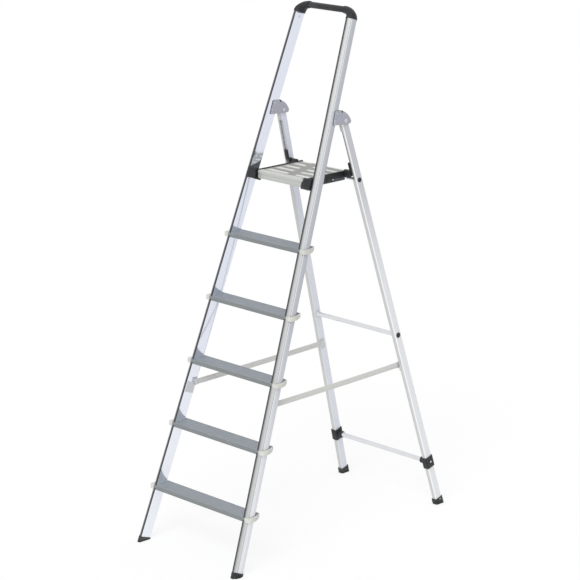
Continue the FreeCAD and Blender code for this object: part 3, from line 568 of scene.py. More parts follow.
def leg_finish():
    """Anodised rear leg with painted light: a front painted a darker, greenish grey than the
    light sides, sides painted darker towards the top, a bright line on the front outer edge
    painted as a highlight, and painted shade in the guide slot.
    """
    finish = Finish("anodised_leg", Metallic=0.2)
    across, back, along = finish.member_parts(LEG)
    fine, broad = drawn_lines(finish, across, back, along)
    # The sides are painted darker towards the top: painted shade.
    top = along.step(-0.75, -0.1)
    side = finish.mix(top, shade(232, 234, 238), shade(200, 202, 208))
    # The front face is painted a darker, greenish grey than the sides: painted shade.
    front = finish.mix(back.step(-0.0158, -0.0166), side, shade(208, 211, 210))
    # A white line painted along the rounded front outer corner: a painted highlight.
    corner = across.step(0.0072, 0.0088) * back.step(-0.0118, -0.0132)
    colour = finish.mix(corner, front, shade(252, 252, 253))
    # The inner faces are also painted a little darker towards the top: painted shade.
    inside = across.step(-0.0098, -0.0102)
    inner = finish.mix(top, shade(226, 229, 238), shade(222, 226, 238))
    colour = finish.mix(inside, colour, inner)
    # Painted shade in the guide slot: a grey strip on the right leg only, and a dark line in the
    # slot's corner on both legs.
    slot = along.step(-0.2345, -0.2335) * along.step(-0.0385, -0.0395)
    slot = slot * back.step(-0.0084, -0.0092) * across.step(0.0032, 0.0024)
    corner = back.step(-0.0104, -0.0094) * across.step(0.0004, 0.0014)
    right = finish.parts(finish.point)[0].step(-0.01, 0.01)
    colour = finish.mix(slot * right, colour, shade(136, 138, 142))
    colour = finish.mix(slot * corner, colour, shade(84, 85, 90))
    marks = handling_marks(finish)
    colour = finish.tone(colour, 0.95 + fine * 0.05 + broad * 0.03 + marks * 0.015)
    finish.feed("Base Color", colour)
    finish.feed("Roughness", 0.28 + fine * 0.08 + marks * 0.12)
    finish.bump(fine, 0.00001, 0.2)
    return finish.material


def cross_run_finish(name, colour, steep_face_shade, metallic, plain=False):
    """Drawn section that runs across the ladder: die lines along X, scuffed rib tops, steep faces
    painted darker as shade.
    """
    finish = Finish(name, Metallic=metallic)
    x, y, z = finish.parts(finish.point)
    fine = finish.noise(finish.vector(x * 0.006, y, z), 1500.0, 3.0, 0.6)
    scuffs = finish.noise(finish.vector(x * 0.35, y, z), 90.0, 5.0, 0.7).step(0.56, 0.72)
    marks = handling_marks(finish, 9.0)
    # Steep faces, the lips among them, take the second colour: painted shade.
    geometry = finish.add("ShaderNodeNewGeometry")
    tilt = finish.parts(geometry.outputs["True Normal"])[2].magnitude()
    base = finish.mix(tilt.step(0.35, 0.8), solid(steep_face_shade), solid(colour))
    base = finish.mix(scuffs * (0.0 if plain else 0.22), base, shade(214, 216, 218))
    finish.feed("Base Color", finish.tone(base, 0.94 + fine * 0.07 + marks * 0.03))
    finish.feed("Roughness", 0.34 + fine * 0.10 + marks * 0.14)
    finish.bump(fine, 0.00005, 0.5)
    return finish.material


def deck_finish(colours):
    """Platform deck: warm satin aluminium, brighter in bands that break at mid width."""
    finish = Finish("platform_aluminium", Metallic=0.25)
    x, y, z = finish.parts(finish.point)
    fine = finish.noise(finish.vector(x * 0.006, y, z), 1500.0, 3.0, 0.6)
    drift = finish.noise(finish.vector(x, y * 0.2, z), 18.0, 1.0)
    across = (y * 21.0).joined("PINGPONG", y * 21.0 + drift * 0.15, 0.5)
    band = across.step(0.24, 0.34)
    middle = (x - 0.01 + y * 0.35).magnitude().step(0.012, 0.030)
    edge = x.magnitude().step(0.118, 0.100)
    marks = handling_marks(finish, 9.0)
    base = finish.mix(band * middle * edge, solid(colours.deck), shade(230, 230, 225))
    finish.feed("Base Color", finish.tone(base, 0.95 + fine * 0.05 + marks * 0.03))
    finish.feed("Roughness", 0.34 + fine * 0.10 + marks * 0.14)
    finish.bump(fine, 0.00003, 0.4)
    return finish.material


def moulded_finish(name, colour, worn, roughness, grain=0.00006):
    """Moulded plastic: fine spark grain, slight mottling, rubbed edges."""
    finish = Finish(name, Specular_IOR_Level=0.3)
    grain_noise = finish.noise(finish.point, 1100.0, 2.0)
    mottle = finish.noise(finish.point, 35.0, 3.0)
    pointed = finish.add("ShaderNodeNewGeometry").outputs["Pointiness"]
    rubbed = Value(finish, pointed).step(0.515, 0.60) * mottle.step(0.3, 0.7)
    base = finish.mix(rubbed * 0.5, solid(colour), worn)
    finish.feed("Base Color", finish.tone(base, 0.90 + mottle * 0.14 + grain_noise * 0.06))
    finish.feed("Roughness", roughness + grain_noise * 0.10 - rubbed * 0.12)
    finish.bump(grain_noise, grain, 0.7)
    return finish.material


def plated_finish(name, colour, roughness, metallic, edge=None):
    """Zinc or nickel plating: fine brushing, cloudy tone, slightly dulled patches. Faces that
    don't face along X take the edge colour, on the zinc plate a painted shade on its rims.
    """
    finish = Finish(name, Metallic=metallic)
    x, y, z = finish.parts(finish.point)
    facing = finish.add("ShaderNodeNewGeometry").outputs["True Normal"]
    facing = finish.parts(facing)[0].magnitude()
    brushed = finish.noise(finish.vector(x * 0.04, y * 0.04, z), 2200.0, 2.0)
    cloud = finish.noise(finish.point, 60.0, 4.0, 0.6)
    # Faces that don't face along X take the edge colour: on the zinc plate, painted shade on its
    # rims.
    base = finish.mix(facing.step(0.25, 0.6), solid(edge or colour), solid(colour))
    finish.feed("Base Color", finish.tone(base, 0.90 + cloud * 0.10 + brushed * 0.05))
    finish.feed("Roughness", roughness + cloud * 0.12)
    finish.bump(brushed, 0.00003, 0.4)
    return finish.material


def bright_tube_finish(name):
    """Chromed tube: hard bright metal with faint rings from drawing and polishing."""
    finish = Finish(name, Metallic=0.85)
    x, y, z = finish.parts(finish.point)
    rings = finish.noise(finish.vector(x, y * 0.02, z * 0.02), 900.0, 2.0)
    haze = finish.noise(finish.point, 25.0, 3.0)
    finish.feed("Base Color", finish.tone(shade(226, 227, 230), 0.94 + haze * 0.08))
    finish.feed("Roughness", 0.10 + haze * 0.10 + rings * 0.03)
    finish.bump(rings, 0.00002, 0.3)
    return finish.material


def webbing_finish(colours):
    """Flat woven webbing: herringbone of warp ribs and weft, soft sheen."""
    finish = Finish("woven_webbing", Specular_IOR_Level=0.2, Sheen_Weight=0.25)
    y, z = finish.parts(finish.point)[1:]
    zigzag = (y * 220.0).joined("PINGPONG", y * 220.0, 0.5)
    warp = (z * 650.0 + zigzag * 1.2).joined("PINGPONG", z * 650.0 + zigzag * 1.2, 0.5) * 2.0
    weft = (y * 900.0).joined("PINGPONG", y * 900.0, 0.5) * 2.0
    weave = warp * 0.65 + weft * 0.35
    soil = finish.noise(finish.point, 30.0, 3.0)
    amount = 0.84 + weave * 0.13 + soil * 0.05
    finish.feed("Base Color", finish.tone(solid(colours.webbing), amount))
    finish.feed("Roughness", 0.72 + weave * 0.12)
    finish.bump(weave, 0.0003, 0.8)
    return finish.material


# ---------------------------------------------------------------- settings
class LadderSizes(bpy.types.PropertyGroup):
    """Sizes of the visible detail."""
    rib_height: bpy.props.FloatProperty(
        name="Rib height", description="Height of the ribs on a step", default=1.0 * MM,
        unit="LENGTH")
    strap_thickness: bpy.props.FloatProperty(
        name="Strap thickness", description="Thickness of the spreader webbing",
        default=1.5 * MM, unit="LENGTH")
    moulded_edge: bpy.props.FloatProperty(
        name="Moulded edge", description="Edge radius of the moulded pieces",
        default=1.2 * MM, unit="LENGTH")
    pressed_edge: bpy.props.FloatProperty(
        name="Pressed edge", description="Edge radius of the pressed steel pieces",
        default=0.6 * MM, unit="LENGTH")
    floor_radius: bpy.props.FloatProperty(
        name="Floor radius", description="Radius of the studio floor", default=9.0,
        unit="LENGTH")
    lamp_strength: bpy.props.FloatProperty(
        name="Lamp strength", description="Irradiance of the key lamp", default=1.35)


class LadderColours(bpy.types.PropertyGroup):
    """Colours of the ladder's materials."""
    aluminium: bpy.props.FloatVectorProperty(
        name="Stile aluminium", description="Inner faces of the stiles", subtype="COLOR",
        default=shade(226, 230, 242)[:3])
    step: bpy.props.FloatVectorProperty(
        name="Step aluminium", description="Top of the steps", subtype="COLOR",
        default=shade(154, 161, 168)[:3])
    # The lip colour is the step aluminium painted darker: painted shade on the steps' steep
    # faces.
    lip: bpy.props.FloatVectorProperty(
        name="Step lip", description="Front and rear edges of the steps", subtype="COLOR",
        default=shade(132, 137, 139)[:3])
    deck: bpy.props.FloatVectorProperty(
        name="Deck aluminium", description="Platform deck", subtype="COLOR",
        default=shade(160, 161, 157)[:3])
    collar: bpy.props.FloatVectorProperty(
        name="Step ends", description="Moulded step ends", subtype="COLOR",
        default=shade(212, 212, 206)[:3])
    black: bpy.props.FloatVectorProperty(
        name="Black plastic", description="Knuckles, feet and platform sides",
        subtype="COLOR", default=shade(40, 41, 43)[:3])
    plate: bpy.props.FloatVectorProperty(
        name="Hinge plates", description="Zinc plated hinge plates", subtype="COLOR",
        default=shade(172, 174, 186)[:3])
    webbing: bpy.props.FloatVectorProperty(
        name="Webbing", description="Spreader straps", subtype="COLOR",
        default=shade(222, 222, 219)[:3])


MAKERS = {
    "anodised_stile": stile_finish,
    "anodised_leg": lambda c: leg_finish(),
    "tread_aluminium": lambda c: cross_run_finish("tread_aluminium", c.step, c.lip, 0.25),
    # The nosing's second colour paints shade on its steep faces.
    "nosing_aluminium": lambda c: cross_run_finish("nosing_aluminium", shade(214, 214, 208),
                                                   shade(196, 198, 194), 0.25, True),
    "platform_aluminium": deck_finish,
    "grey_moulding": lambda c: moulded_finish("grey_moulding", c.collar, shade(232, 232, 228),
                                              0.45),
    "black_moulding": lambda c: moulded_finish("black_moulding", c.black, shade(120, 120, 122),
                                               0.42),
    # The dark second colour paints shade on the hinge plates' rims.
    "zinc_plate": lambda c: plated_finish("zinc_plate", c.plate, 0.32, 0.35,
                                             shade(70, 71, 78)),
    "bright_fastener": lambda c: plated_finish("bright_fastener", shade(206, 207, 210), 0.25,
                                               0.6),
    "bright_tube": lambda c: bright_tube_finish("bright_tube"),
    "woven_webbing": webbing_finish,
}


def finish(name):
    """The material of that name, made when it is first asked for."""
    known = bpy.data.materials.get(name)
    return known or MAKERS[name](bpy.context.scene.ladder_colours)


# ---------------------------------------------------------------- sections of the members
def stile_outline():
    """Stile section: inner face, narrow front flat, slant, beaded ridge, bowed side."""
    bowed = arc_through((20.9, 13.2), (24.3, 26.0), (11.0, 47.0), 12)[1:-1]
    corners = [(0, 0), (10.6, 0), (19.2, 9.2), (20.3, 9.5), (20.8, 10.6), (20.6, 12.6)]
    corners += [tuple(point) for point in bowed] + [(11.0, 47.0), (0, 49.0)]
    radii = [0.8, 1.0, 0.4, 0.5, 0.5, 0.4] + [0.6] * len(bowed) + [1.5, 0.8]
    return rounded(np.array(corners) * MM, np.array(radii) * MM, 4)


def leg_outline(notched):
    """Leg section; the notch takes out the inner front corner, with as many points."""
    corner = (2.25, -9.15) if notched else (-10.25, -16.65)
    corners = [(2.25, -16.65), (10.25, -16.65), (10.25, 16.65), (-10.25, 16.65),
               (-10.25, -9.15), corner]
    radii = [0.5, 4.0, 4.0, 4.0, 0.5, 1.0 if notched else 4.0]
    return rounded(np.array(corners) * MM, np.array(radii) * MM, 6)


def tread_outline(rib_height):
    """Tread section in (back, up) from its front top edge: lips, hems and rounded ribs."""
    ribs = 9
    band = 6.0
    high = 0.0
    low = -rib_height / MM
    pitch = (76.0 - 2 * band) / ribs
    corners = [(0, -16), (0, high), (band, high), (band + 0.4, low)]
    radii = [0.6, 1.6, 0.3, 0.2]
    for index in range(ribs):
        start = band + pitch * (index + 0.5) - 1.6
        corners += [(start, low), (start + 0.7, high), (start + 2.5, high), (start + 3.2, low)]
        radii += [0.2, 0.35, 0.35, 0.2]
    corners += [(75.6 - band, low), (76 - band, high), (76, high), (76, -16), (71.6, -16),
                (71.6, -13.6), (73.6, -13.6), (73.6, -3.5), (2.4, -3.5), (2.4, -13.6),
                (4.4, -13.6), (4.4, -16)]
    radii += [0.2, 0.3, 1.6, 0.6, 0.3, 0.3, 0.3, 0.8, 0.8, 0.3, 0.3, 0.3]
    return rounded(np.array(corners) * MM, np.array(radii) * MM, 3)


def deck_outline(front, rear):
    """Deck section in (back, up): broad ribs on a tray with turned-down edges."""
    ribs = 21
    top = DECK_TOP / MM
    front, rear = front / MM, rear / MM
    pitch = (rear - front) / ribs
    corners = [(front, top - 16), (front, top - 1.2)]
    radii = [0.4, 0.3]
    for index in range(ribs):
        start = front + pitch * (index + 0.2)
        end = front + pitch * (index + 0.8)
        corners += [(start, top - 1.2), (start + 0.9, top), (end - 0.9, top), (end, top - 1.2)]
        radii += [0.3, 0.5, 0.5, 0.3]
    corners += [(rear, top - 1.2), (rear, top - 16), (rear - 3, top - 16), (rear - 3, top - 4.2),
                (front + 3, top - 4.2), (front + 3, top - 16)]
    radii += [0.6, 0.4, 0.4, 1.0, 1.0, 0.4]
    return rounded(np.array(corners) * MM, np.array(radii) * MM, 3)


def nosing_outline(front, rear):
    """Nosing section in (back, up): rounded nose with a groove along its face."""
    top = DECK_TOP / MM
    front, rear = front / MM, rear / MM
    corners = [(front, top), (rear, top), (rear, top - 3), (front + 3, top - 3),
               (front + 3, top - 29), (rear, top - 29), (rear, top - 32), (front, top - 32),
               (front, top - 17.5), (front + 2.0, top - 17.0), (front + 2.0, top - 14.5),
               (front, top - 14.0)]
    radii = [5.0, 0.4, 0.4, 1.0, 1.0, 0.4, 0.4, 5.0, 0.7, 0.5, 0.5, 0.7]
    return rounded(np.array(corners) * MM, np.array(radii) * MM, 6)


def cut_by_level(place, outline, z=0.0):
    """Upward distance at which each point of an outline meets height z."""
    rise = outline @ place.axes[:2, 2] + place.origin[2]
    return (z - rise) / place.axes[2, 2]


def foot_rings(place, outline, top):
    """Foot: flat sole on the floor, two grip grooves, and a rounded upper rim.

    Each ring goes from the sole, which the floor cuts, to the level top, by a share of the way.
    """
    sole = cut_by_level(place, outline)
    levels = [(0.0, 0.9), (0.04, 0.2), (0.10, 0.0), (0.16, 0.0), (0.19, 0.8), (0.23, 0.8),
              (0.26, 0.0), (0.34, 0.0), (0.37, 0.8), (0.41, 0.8), (0.44, 0.0), (0.90, 0.0),
              (0.97, 0.4), (1.0, 1.3)]
    rings = []
    for share, inward in levels:
        height = sole + (top - sole) * share
        rings.append(np.column_stack([shrunk(outline, inward * MM), height]))
    rings[0][:, 2] = cut_by_level(place, rings[0][:, :2])
    return place(np.array(rings))


# ---------------------------------------------------------------- operators
class LADDER_OT_stiles(bpy.types.Operator):
    """Drawn front stiles and their moulded feet."""
    bl_idname = "ladder.stiles"
    bl_label = "Stiles"

    def execute(self, context):
        outline = stile_outline()
        bar = STILE(prism(outline, FOOT_RISE, along_stile(STILE_TOP), 0.3 * MM))
        foot = foot_rings(STILE, shrunk(outline, -1.5 * MM), FOOT_RISE + 0.4 * MM)
        for side, mirror in (("right", False), ("left", True)):
            Shape().loft(bar, mirror).build(
                "drawn_stile_" + side, finish("anodised_stile"), "front_frame", ["stile_" + side])
            Shape().loft(foot, mirror).build(
                "moulded_front_foot_" + side, finish("black_moulding"), "front_frame",
                ["front_foot_" + side])
        return {"FINISHED"}


class LADDER_OT_steps(bpy.types.Operator):
    """Ribbed treads and the moulded ends that carry their rim round the stiles."""
    bl_idname = "ladder.steps"
    bl_label = "Steps"

    def collar_outline(self, z):
        """Outline of a step end in (x, y): rounded front corner, bowed side, tapered rear."""
        start = inner_x(z) / MM + 10.95
        reach = inner_x(z) / MM + 33.5
        front = front_y(z) / MM - 4
        bow = arc_through((reach, front + 11), (reach + 2, front + 30.4),
                          (reach - 4, front + 45.6), 8)
        tail = arc_through((reach - 4, front + 45.6),
                           ((reach + start) / 2 + 1.6, front + 56.8 + 1.6),
                           (start + 4, front + 68), 7)
        corners = [(start, front), (reach, front)]
        corners += [tuple(p) for p in bow[1:-1]] + [tuple(p) for p in tail[:-1]]
        corners += [(start + 4, front + 68), (start, front + 76)]
        radii = [0.5, 9.5] + [0.8] * (len(bow) - 2 + len(tail) - 1) + [1.0, 0.5]
        return rounded(np.array(corners) * MM, np.array(radii) * MM, 4)

    def collar(self, z):
        """Rings of a step end: at each height its outline and, inside, the stile's own.

        The stile's section is cut by that height's level plane, so the passage leans with it.
        """
        outer = self.collar_outline(z)
        start = outer[0, 0]
        outer = outer[outer[:, 0] > start + 0.2 * MM]
        passage = shrunk(stile_outline(), -0.5 * MM)
        passage = passage[passage[:, 0] > 12 * MM]
        rings = []
        for height, inward in ((-STEP_LIP, 0.6), (-STEP_LIP + 0.6 * MM, 0.0), (-0.6 * MM, 0.0),
                               (0.0, 0.6)):
            level = z + height
            around = np.column_stack([passage, cut_by_level(STILE, passage, level)])
            around = STILE(around)[::-1, :2]
            ends = [[(start, outer[-1, 1])], [(start, around[0, 1])], around,
                    [(start, around[-1, 1])], [(start, outer[0, 1])]]
            outline = np.vstack([outer] + ends)
            outline = shrunk(outline, inward * MM)
            rings.append(np.column_stack([outline, np.full(len(outline), level)]))
        return np.array(rings)

    def execute(self, context):
        sizes = context.scene.ladder_sizes
        passage = shrunk(stile_outline(), -0.4 * MM)
        stiles = STILE(prism(passage, 0.05, along_stile(STILE_TOP), 0.0, 1))
        cutter = bpy.data.objects.new("passages", Shape().pair(stiles).mesh("passages"))
        context.scene.collection.objects.link(cutter)
        for index, z in enumerate(STEP_TOPS):
            half = inner_x(z) + 10.8 * MM
            outline = tread_outline(sizes.rib_height) + (front_y(z) - 4 * MM, z)
            tread = Shape().loft(sideways(prism(outline, -half, half, 0.15 * MM, 2))).build(
                "ribbed_step_%d" % (index + 1), finish("tread_aluminium"), "front_frame",
                ["step_%d" % (index + 1)])
            cut_away(tread, cutter)
            smooth(tread.data)
        for side, mirror in (("right", False), ("left", True)):
            ends = Shape()
            for z in STEP_TOPS:
                ends.loft(self.collar(z), mirror)
            ends.build("step_ends_" + side, finish("grey_moulding"), "front_frame",
                       ["step_collars_" + side])
        bpy.data.objects.remove(cutter)
        return {"FINISHED"}


class LADDER_OT_hoop(bpy.types.Operator):
    """Oval grab bar and the moulded knuckles that join it to the stiles."""
    bl_idname = "ladder.hoop"
    bl_label = "Hoop"

    def polar(self, outline, angles):
        """Distance from the centre to an outline, in the directions of the angles."""
        own = np.arctan2(outline[:, 1], outline[:, 0])
        order = np.argsort(own)
        return np.interp(angles, own[order], np.hypot(*outline.T)[order], period=2 * math.pi)

    def knuckle(self):
        """Knuckle surface: sections turn a quarter circle from the stile to the bar.

        A section is the stile's grown outline mixed into an ellipse by a smooth share of the
        turn, drawn in two directions that turn with it.
        """
        count = 96
        angles = np.linspace(-math.pi, math.pi, count, endpoint=False)
        spokes = np.stack([np.cos(angles), np.sin(angles)], 1)
        middle = np.array([STILE_WIDTH / 2, STILE_DEPTH / 2])
        first = self.polar(shrunk(stile_outline(), -1.3 * MM) - middle, angles)
        last = 1 / np.hypot(spokes[:, 0] / (13.9 * MM), spokes[:, 1] / (17.2 * MM))
        top = STILE([middle[0], middle[1], along_stile(STILE_TOP)])
        share = np.concatenate([[0, 0, 0.02], np.linspace(0.05, 1, 26), [1.0, 1.0]])
        inward = np.concatenate([[1.2, 0.3, 0], np.zeros(26), [0.4, 1.3]]) * MM
        slide = np.concatenate([[0, 0.5, 0], np.zeros(26), [0.9, 1.2]]) * MM
        rings = []
        for s, d, move in zip(share, inward, slide):
            turn = s * math.pi / 2
            mixed = s * s * (3 - 2 * s)
            radius = first * (1 - mixed) + last * mixed - d
            across = math.cos(turn) * STILE.axes[0] + math.sin(turn) * np.array([0, 0, 1.0])
            across = across / np.linalg.norm(across)
            deep = (1 - mixed) * STILE.axes[1] + mixed * np.array([0, 1.0, 0])
            deep = deep / np.linalg.norm(deep)
            rise = HOOP_RISE * math.sin(turn)
            centre = np.array([top[0] - HOOP_RUN * (1 - math.cos(turn)),
                               top[1] + rise * math.tan(STILE_LEAN), top[2] + rise])
            centre = centre + np.cross(across, deep) * move
            local = spokes * radius[:, None]
            rings.append(centre + local[:, :1] * across + local[:, 1:] * deep)
        return np.array(rings)

    def execute(self, context):
        top = STILE([STILE_WIDTH / 2, STILE_DEPTH / 2, along_stile(STILE_TOP)])
        half = top[0] - HOOP_RUN
        section = circle(HOOP_HALF_THICKNESS, 72)
        section = section * (HOOP_HALF_DEPTH / HOOP_HALF_THICKNESS, 1.0)
        section = section + (top[1] + HOOP_RISE * math.tan(STILE_LEAN), top[2] + HOOP_RISE)
        bar = sideways(prism(section, -half, half, 0.5 * MM))
        Shape().loft(bar).build("grab_bar", finish("black_moulding"), "front_frame", ["hoop_bar"])
        knuckle = self.knuckle()
        for side, mirror in (("right", False), ("left", True)):
            Shape().loft(knuckle, mirror).build(
                "hoop_knuckle_" + side, finish("black_moulding"), "front_frame",
                ["hoop_corner_" + side])
        return {"FINISHED"}


class LADDER_OT_hinges(bpy.types.Operator):
    """Pressed hinge plates with their bolts and stop rollers."""
    bl_idname = "ladder.hinges"
    bl_label = "Hinges"

    def plate_outline(self):
        """Plate outline in the stile's (back, up), from corners given from the hinge."""
        crown = arc_through((-38, 42), (8, 26), (29.5, -3), 12)
        corners = [(-68, -8), (-55, 40), (-50, 43)] + [tuple(p) for p in crown]
        corners += [(28, -11), (20, -13.5), (-63, -10)]
        radii = [2.0, 2.0, 2.5] + [0.8] * (len(crown) - 1) + [2.5, 2.5, 2.5, 2.0]
        corners = [by_hinge(rear * MM, up * MM) for rear, up in corners]
        return rounded(np.array(corners), np.array(radii) * MM, 4)

    def execute(self, context):
        edge = context.scene.ladder_sizes.pressed_edge
        outline = self.plate_outline()
        inner = STILE(sideways(prism(outline, -PLATE_THICKNESS, 0, edge)))
        outer = STILE(sideways(prism(outline, PLATE_GAP, PLATE_GAP + PLATE_THICKNESS, edge)))
        depth, height = by_hinge(0, 0)
        outward = STILE.axes[0]
        face = PLATE_GAP + PLATE_THICKNESS
        head = aimed(turned(dome(8.4 * MM, 3.3 * MM, 0.4), 40), STILE([face, depth, height]),
                     outward)
        nut_profile = [(7.4 * MM, 0), (7.5 * MM, 0.4 * MM), (7.5 * MM, 2.8 * MM),
                       (6.4 * MM, 3.4 * MM), (3.0 * MM, 3.4 * MM)]
        nut = aimed(turned(nut_profile, 6), STILE([-PLATE_THICKNESS, depth, height]), -outward)
        reach = PLATE_GAP / 2 + PLATE_THICKNESS + 1.0 * MM
        shank = aimed(turned([(4.9 * MM, 0), (4.9 * MM, 2 * reach)], 32),
                      (HINGE_X - reach, HINGE_Y, HINGE_HEIGHT), (1, 0, 0))
        back, up = by_hinge(-17 * MM, 36 * MM)
        length = PLATE_GAP + 2 * PLATE_THICKNESS + 1.6 * MM
        roller_profile = [(3.4 * MM, 0), (4.1 * MM, 0.6 * MM), (4.1 * MM, length - 0.6 * MM),
                          (3.4 * MM, length)]
        roller = aimed(turned(roller_profile, 32),
                       STILE([-PLATE_THICKNESS - 0.8 * MM, back, up]), outward)
        for side, mirror in (("right", False), ("left", True)):
            for rings, name, node, material in (
                    (inner, "inner_plate_", "hinge_plate_inner_", "zinc_plate"),
                    (outer, "outer_plate_", "hinge_plate_outer_", "zinc_plate"),
                    (roller, "stop_roller_", "stop_pin_", "black_moulding")):
                Shape().loft(rings, mirror).build(name + side, finish(material), "front_frame",
                                                  [node + side])
            bolt = Shape().loft(head, mirror).loft(nut, mirror).loft(shank, mirror)
            bolt.build("pivot_bolt_" + side, finish("bright_fastener"), "front_frame",
                       ["hinge_bolt_" + side])
        return {"FINISHED"}


class LADDER_OT_rear_frame(bpy.types.Operator):
    """Rear legs with guide slots, their feet, and the tubes that cross between them."""
    bl_idname = "ladder.rear_frame"
    bl_label = "Rear frame"

    def tube(self, radius, half, y, z):
        """Cross tube with softly rounded ends."""
        profile = [(radius - 0.6 * MM, 0), (radius, 0.6 * MM), (radius, 2 * half - 0.6 * MM),
                   (radius - 0.6 * MM, 2 * half)]
        return aimed(turned(profile, 48), (-half, y, z), (1, 0, 0))

    def plug(self, radius, half, y, z):
        """Push-in plug: stem inside the tube and a domed head outside the leg."""
        stem = [(radius - 1.7 * MM, 0), (radius - 1.7 * MM, 17 * MM)]
        head = dome(radius + 1.5 * MM, 2.4 * MM, 0.3)
        start = half + 1.2 * MM
        return (aimed(turned(stem, 32), (start - 17 * MM, y, z), (1, 0, 0)),
                aimed(turned(head, 40), (start, y, z), (1, 0, 0)))

    def execute(self, context):
        whole = leg_outline(False)
        notched = leg_outline(True)
        slot_low, slot_high = -down_leg(DECK_TOP - 17 * MM), -39 * MM
        end = 0.4 * MM
        stations = [(shrunk(whole, end), -down_leg(16 * MM)), (whole, -down_leg(16 * MM) + end),
                    (whole, slot_low), (notched, slot_low), (notched, slot_high),
                    (whole, slot_high), (whole, 15 * MM - end), (shrunk(whole, end), 15 * MM)]
        leg = LEG(np.array([np.column_stack([o, np.full(len(o), w)]) for o, w in stations]))
        foot_outline = rounded([(-13.25 * MM, -21.65 * MM), (13.25 * MM, -21.65 * MM),
                                (13.25 * MM, 21.65 * MM), (-13.25 * MM, 21.65 * MM)], 7 * MM, 7)
        foot = foot_rings(LEG, foot_outline, -down_leg(27 * MM))
        for side, mirror in (("right", False), ("left", True)):
            Shape().loft(leg, mirror).build("slotted_leg_" + side, finish("anodised_leg"),
                                            "rear_frame", ["rear_leg_" + side])
            Shape().loft(foot, mirror).build("moulded_rear_foot_" + side,
                                             finish("black_moulding"), "rear_frame",
                                             ["rear_foot_" + side])
        upper, lower, rest = 0.733, 0.186, DECK_TOP - 25 * MM
        tubes = ((9.0 * MM, upper, leg_x(upper) + LEG_HALF_WIDTH, "upper_crossbar"),
                 (9.5 * MM, lower, leg_x(lower) - LEG_HALF_WIDTH - 4 * MM, "lower_crossbar"),
                 (7.5 * MM, rest, leg_x(rest) + LEG_HALF_WIDTH, "rest_bar"))
        for radius, z, half, node in tubes:
            Shape().loft(self.tube(radius, half, leg_y(z), z)).build(
                "round_" + node, finish("bright_tube"), "rear_frame", [node])
        for radius, z, node in ((9.0 * MM, upper, "crossbar_plugs"),
                                (7.5 * MM, rest, "rest_bar_plugs")):
            plugs = Shape()
            for rings in self.plug(radius, leg_x(z) + LEG_HALF_WIDTH, leg_y(z), z):
                plugs.pair(rings)
            plugs.build("domed_" + node, finish("black_moulding"), "rear_frame", [node])
        flare = [(9.4 * MM, 0), (9.8 * MM, 4 * MM), (10.8 * MM, 9 * MM), (12.3 * MM, 13 * MM),
                 (12.3 * MM, 14 * MM)]
        start = leg_x(upper) - LEG_HALF_WIDTH - 15.5 * MM
        Shape().pair(aimed(turned(flare, 48), (start, leg_y(upper), upper), (1, 0, 0))).build(
            "flared_sleeves", finish("bright_tube"), "rear_frame", ["crossbar_sleeves"])
        return {"FINISHED"}


class LADDER_OT_platform(bpy.types.Operator):
    """Ribbed deck and its grooved nosing."""
    bl_idname = "ladder.platform"
    bl_label = "Platform"

    def execute(self, context):
        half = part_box("deck")[1][0]
        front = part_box("nosing")[0][1]
        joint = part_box("deck")[0][1]
        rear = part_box("deck")[1][1]
        deck = sideways(prism(deck_outline(joint, rear), -half, half, 0.2 * MM, 2))
        nosing = sideways(prism(nosing_outline(front, joint - 0.15 * MM), -half, half,
                                0.2 * MM, 2))
        Shape().loft(deck).build("ribbed_deck", finish("platform_aluminium"), "platform",
                                 ["deck"])
        Shape().loft(nosing).build("grooved_nosing", finish("nosing_aluminium"), "platform",
                                   ["nosing"])
        return {"FINISHED"}


class LADDER_OT_mouldings(bpy.types.Operator):
    """Moulded and pressed pieces whose CAD shape is right: edges rounded, finish added."""
    bl_idname = "ladder.mouldings"
    bl_label = "Mouldings and anchors"

    def execute(self, context):
        sizes = context.scene.ladder_sizes
        black = finish("black_moulding")
        steel = finish("bright_fastener")
        for side in ("right", "left"):
            softened("side_cap_" + side, sizes.moulded_edge, black, "platform")
            softened("guide_arm_" + side, sizes.moulded_edge, black, "platform")
            softened("platform_bracket_" + side, sizes.moulded_edge, black, "front_frame")
            softened("lower_clamp_" + side, sizes.moulded_edge, black, "rear_frame")
            softened("guide_shoe_" + side, sizes.moulded_edge / 2, black, "shoe_" + side)
            softened("strap_anchor_front_" + side, sizes.pressed_edge, steel, "front_frame")
            softened("strap_anchor_rear_" + side, sizes.pressed_edge, steel, "rear_frame")
            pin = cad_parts["platform_pivot_" + side]
            for slot in pin.material_slots:
                slot.material = steel
        return {"FINISHED"}


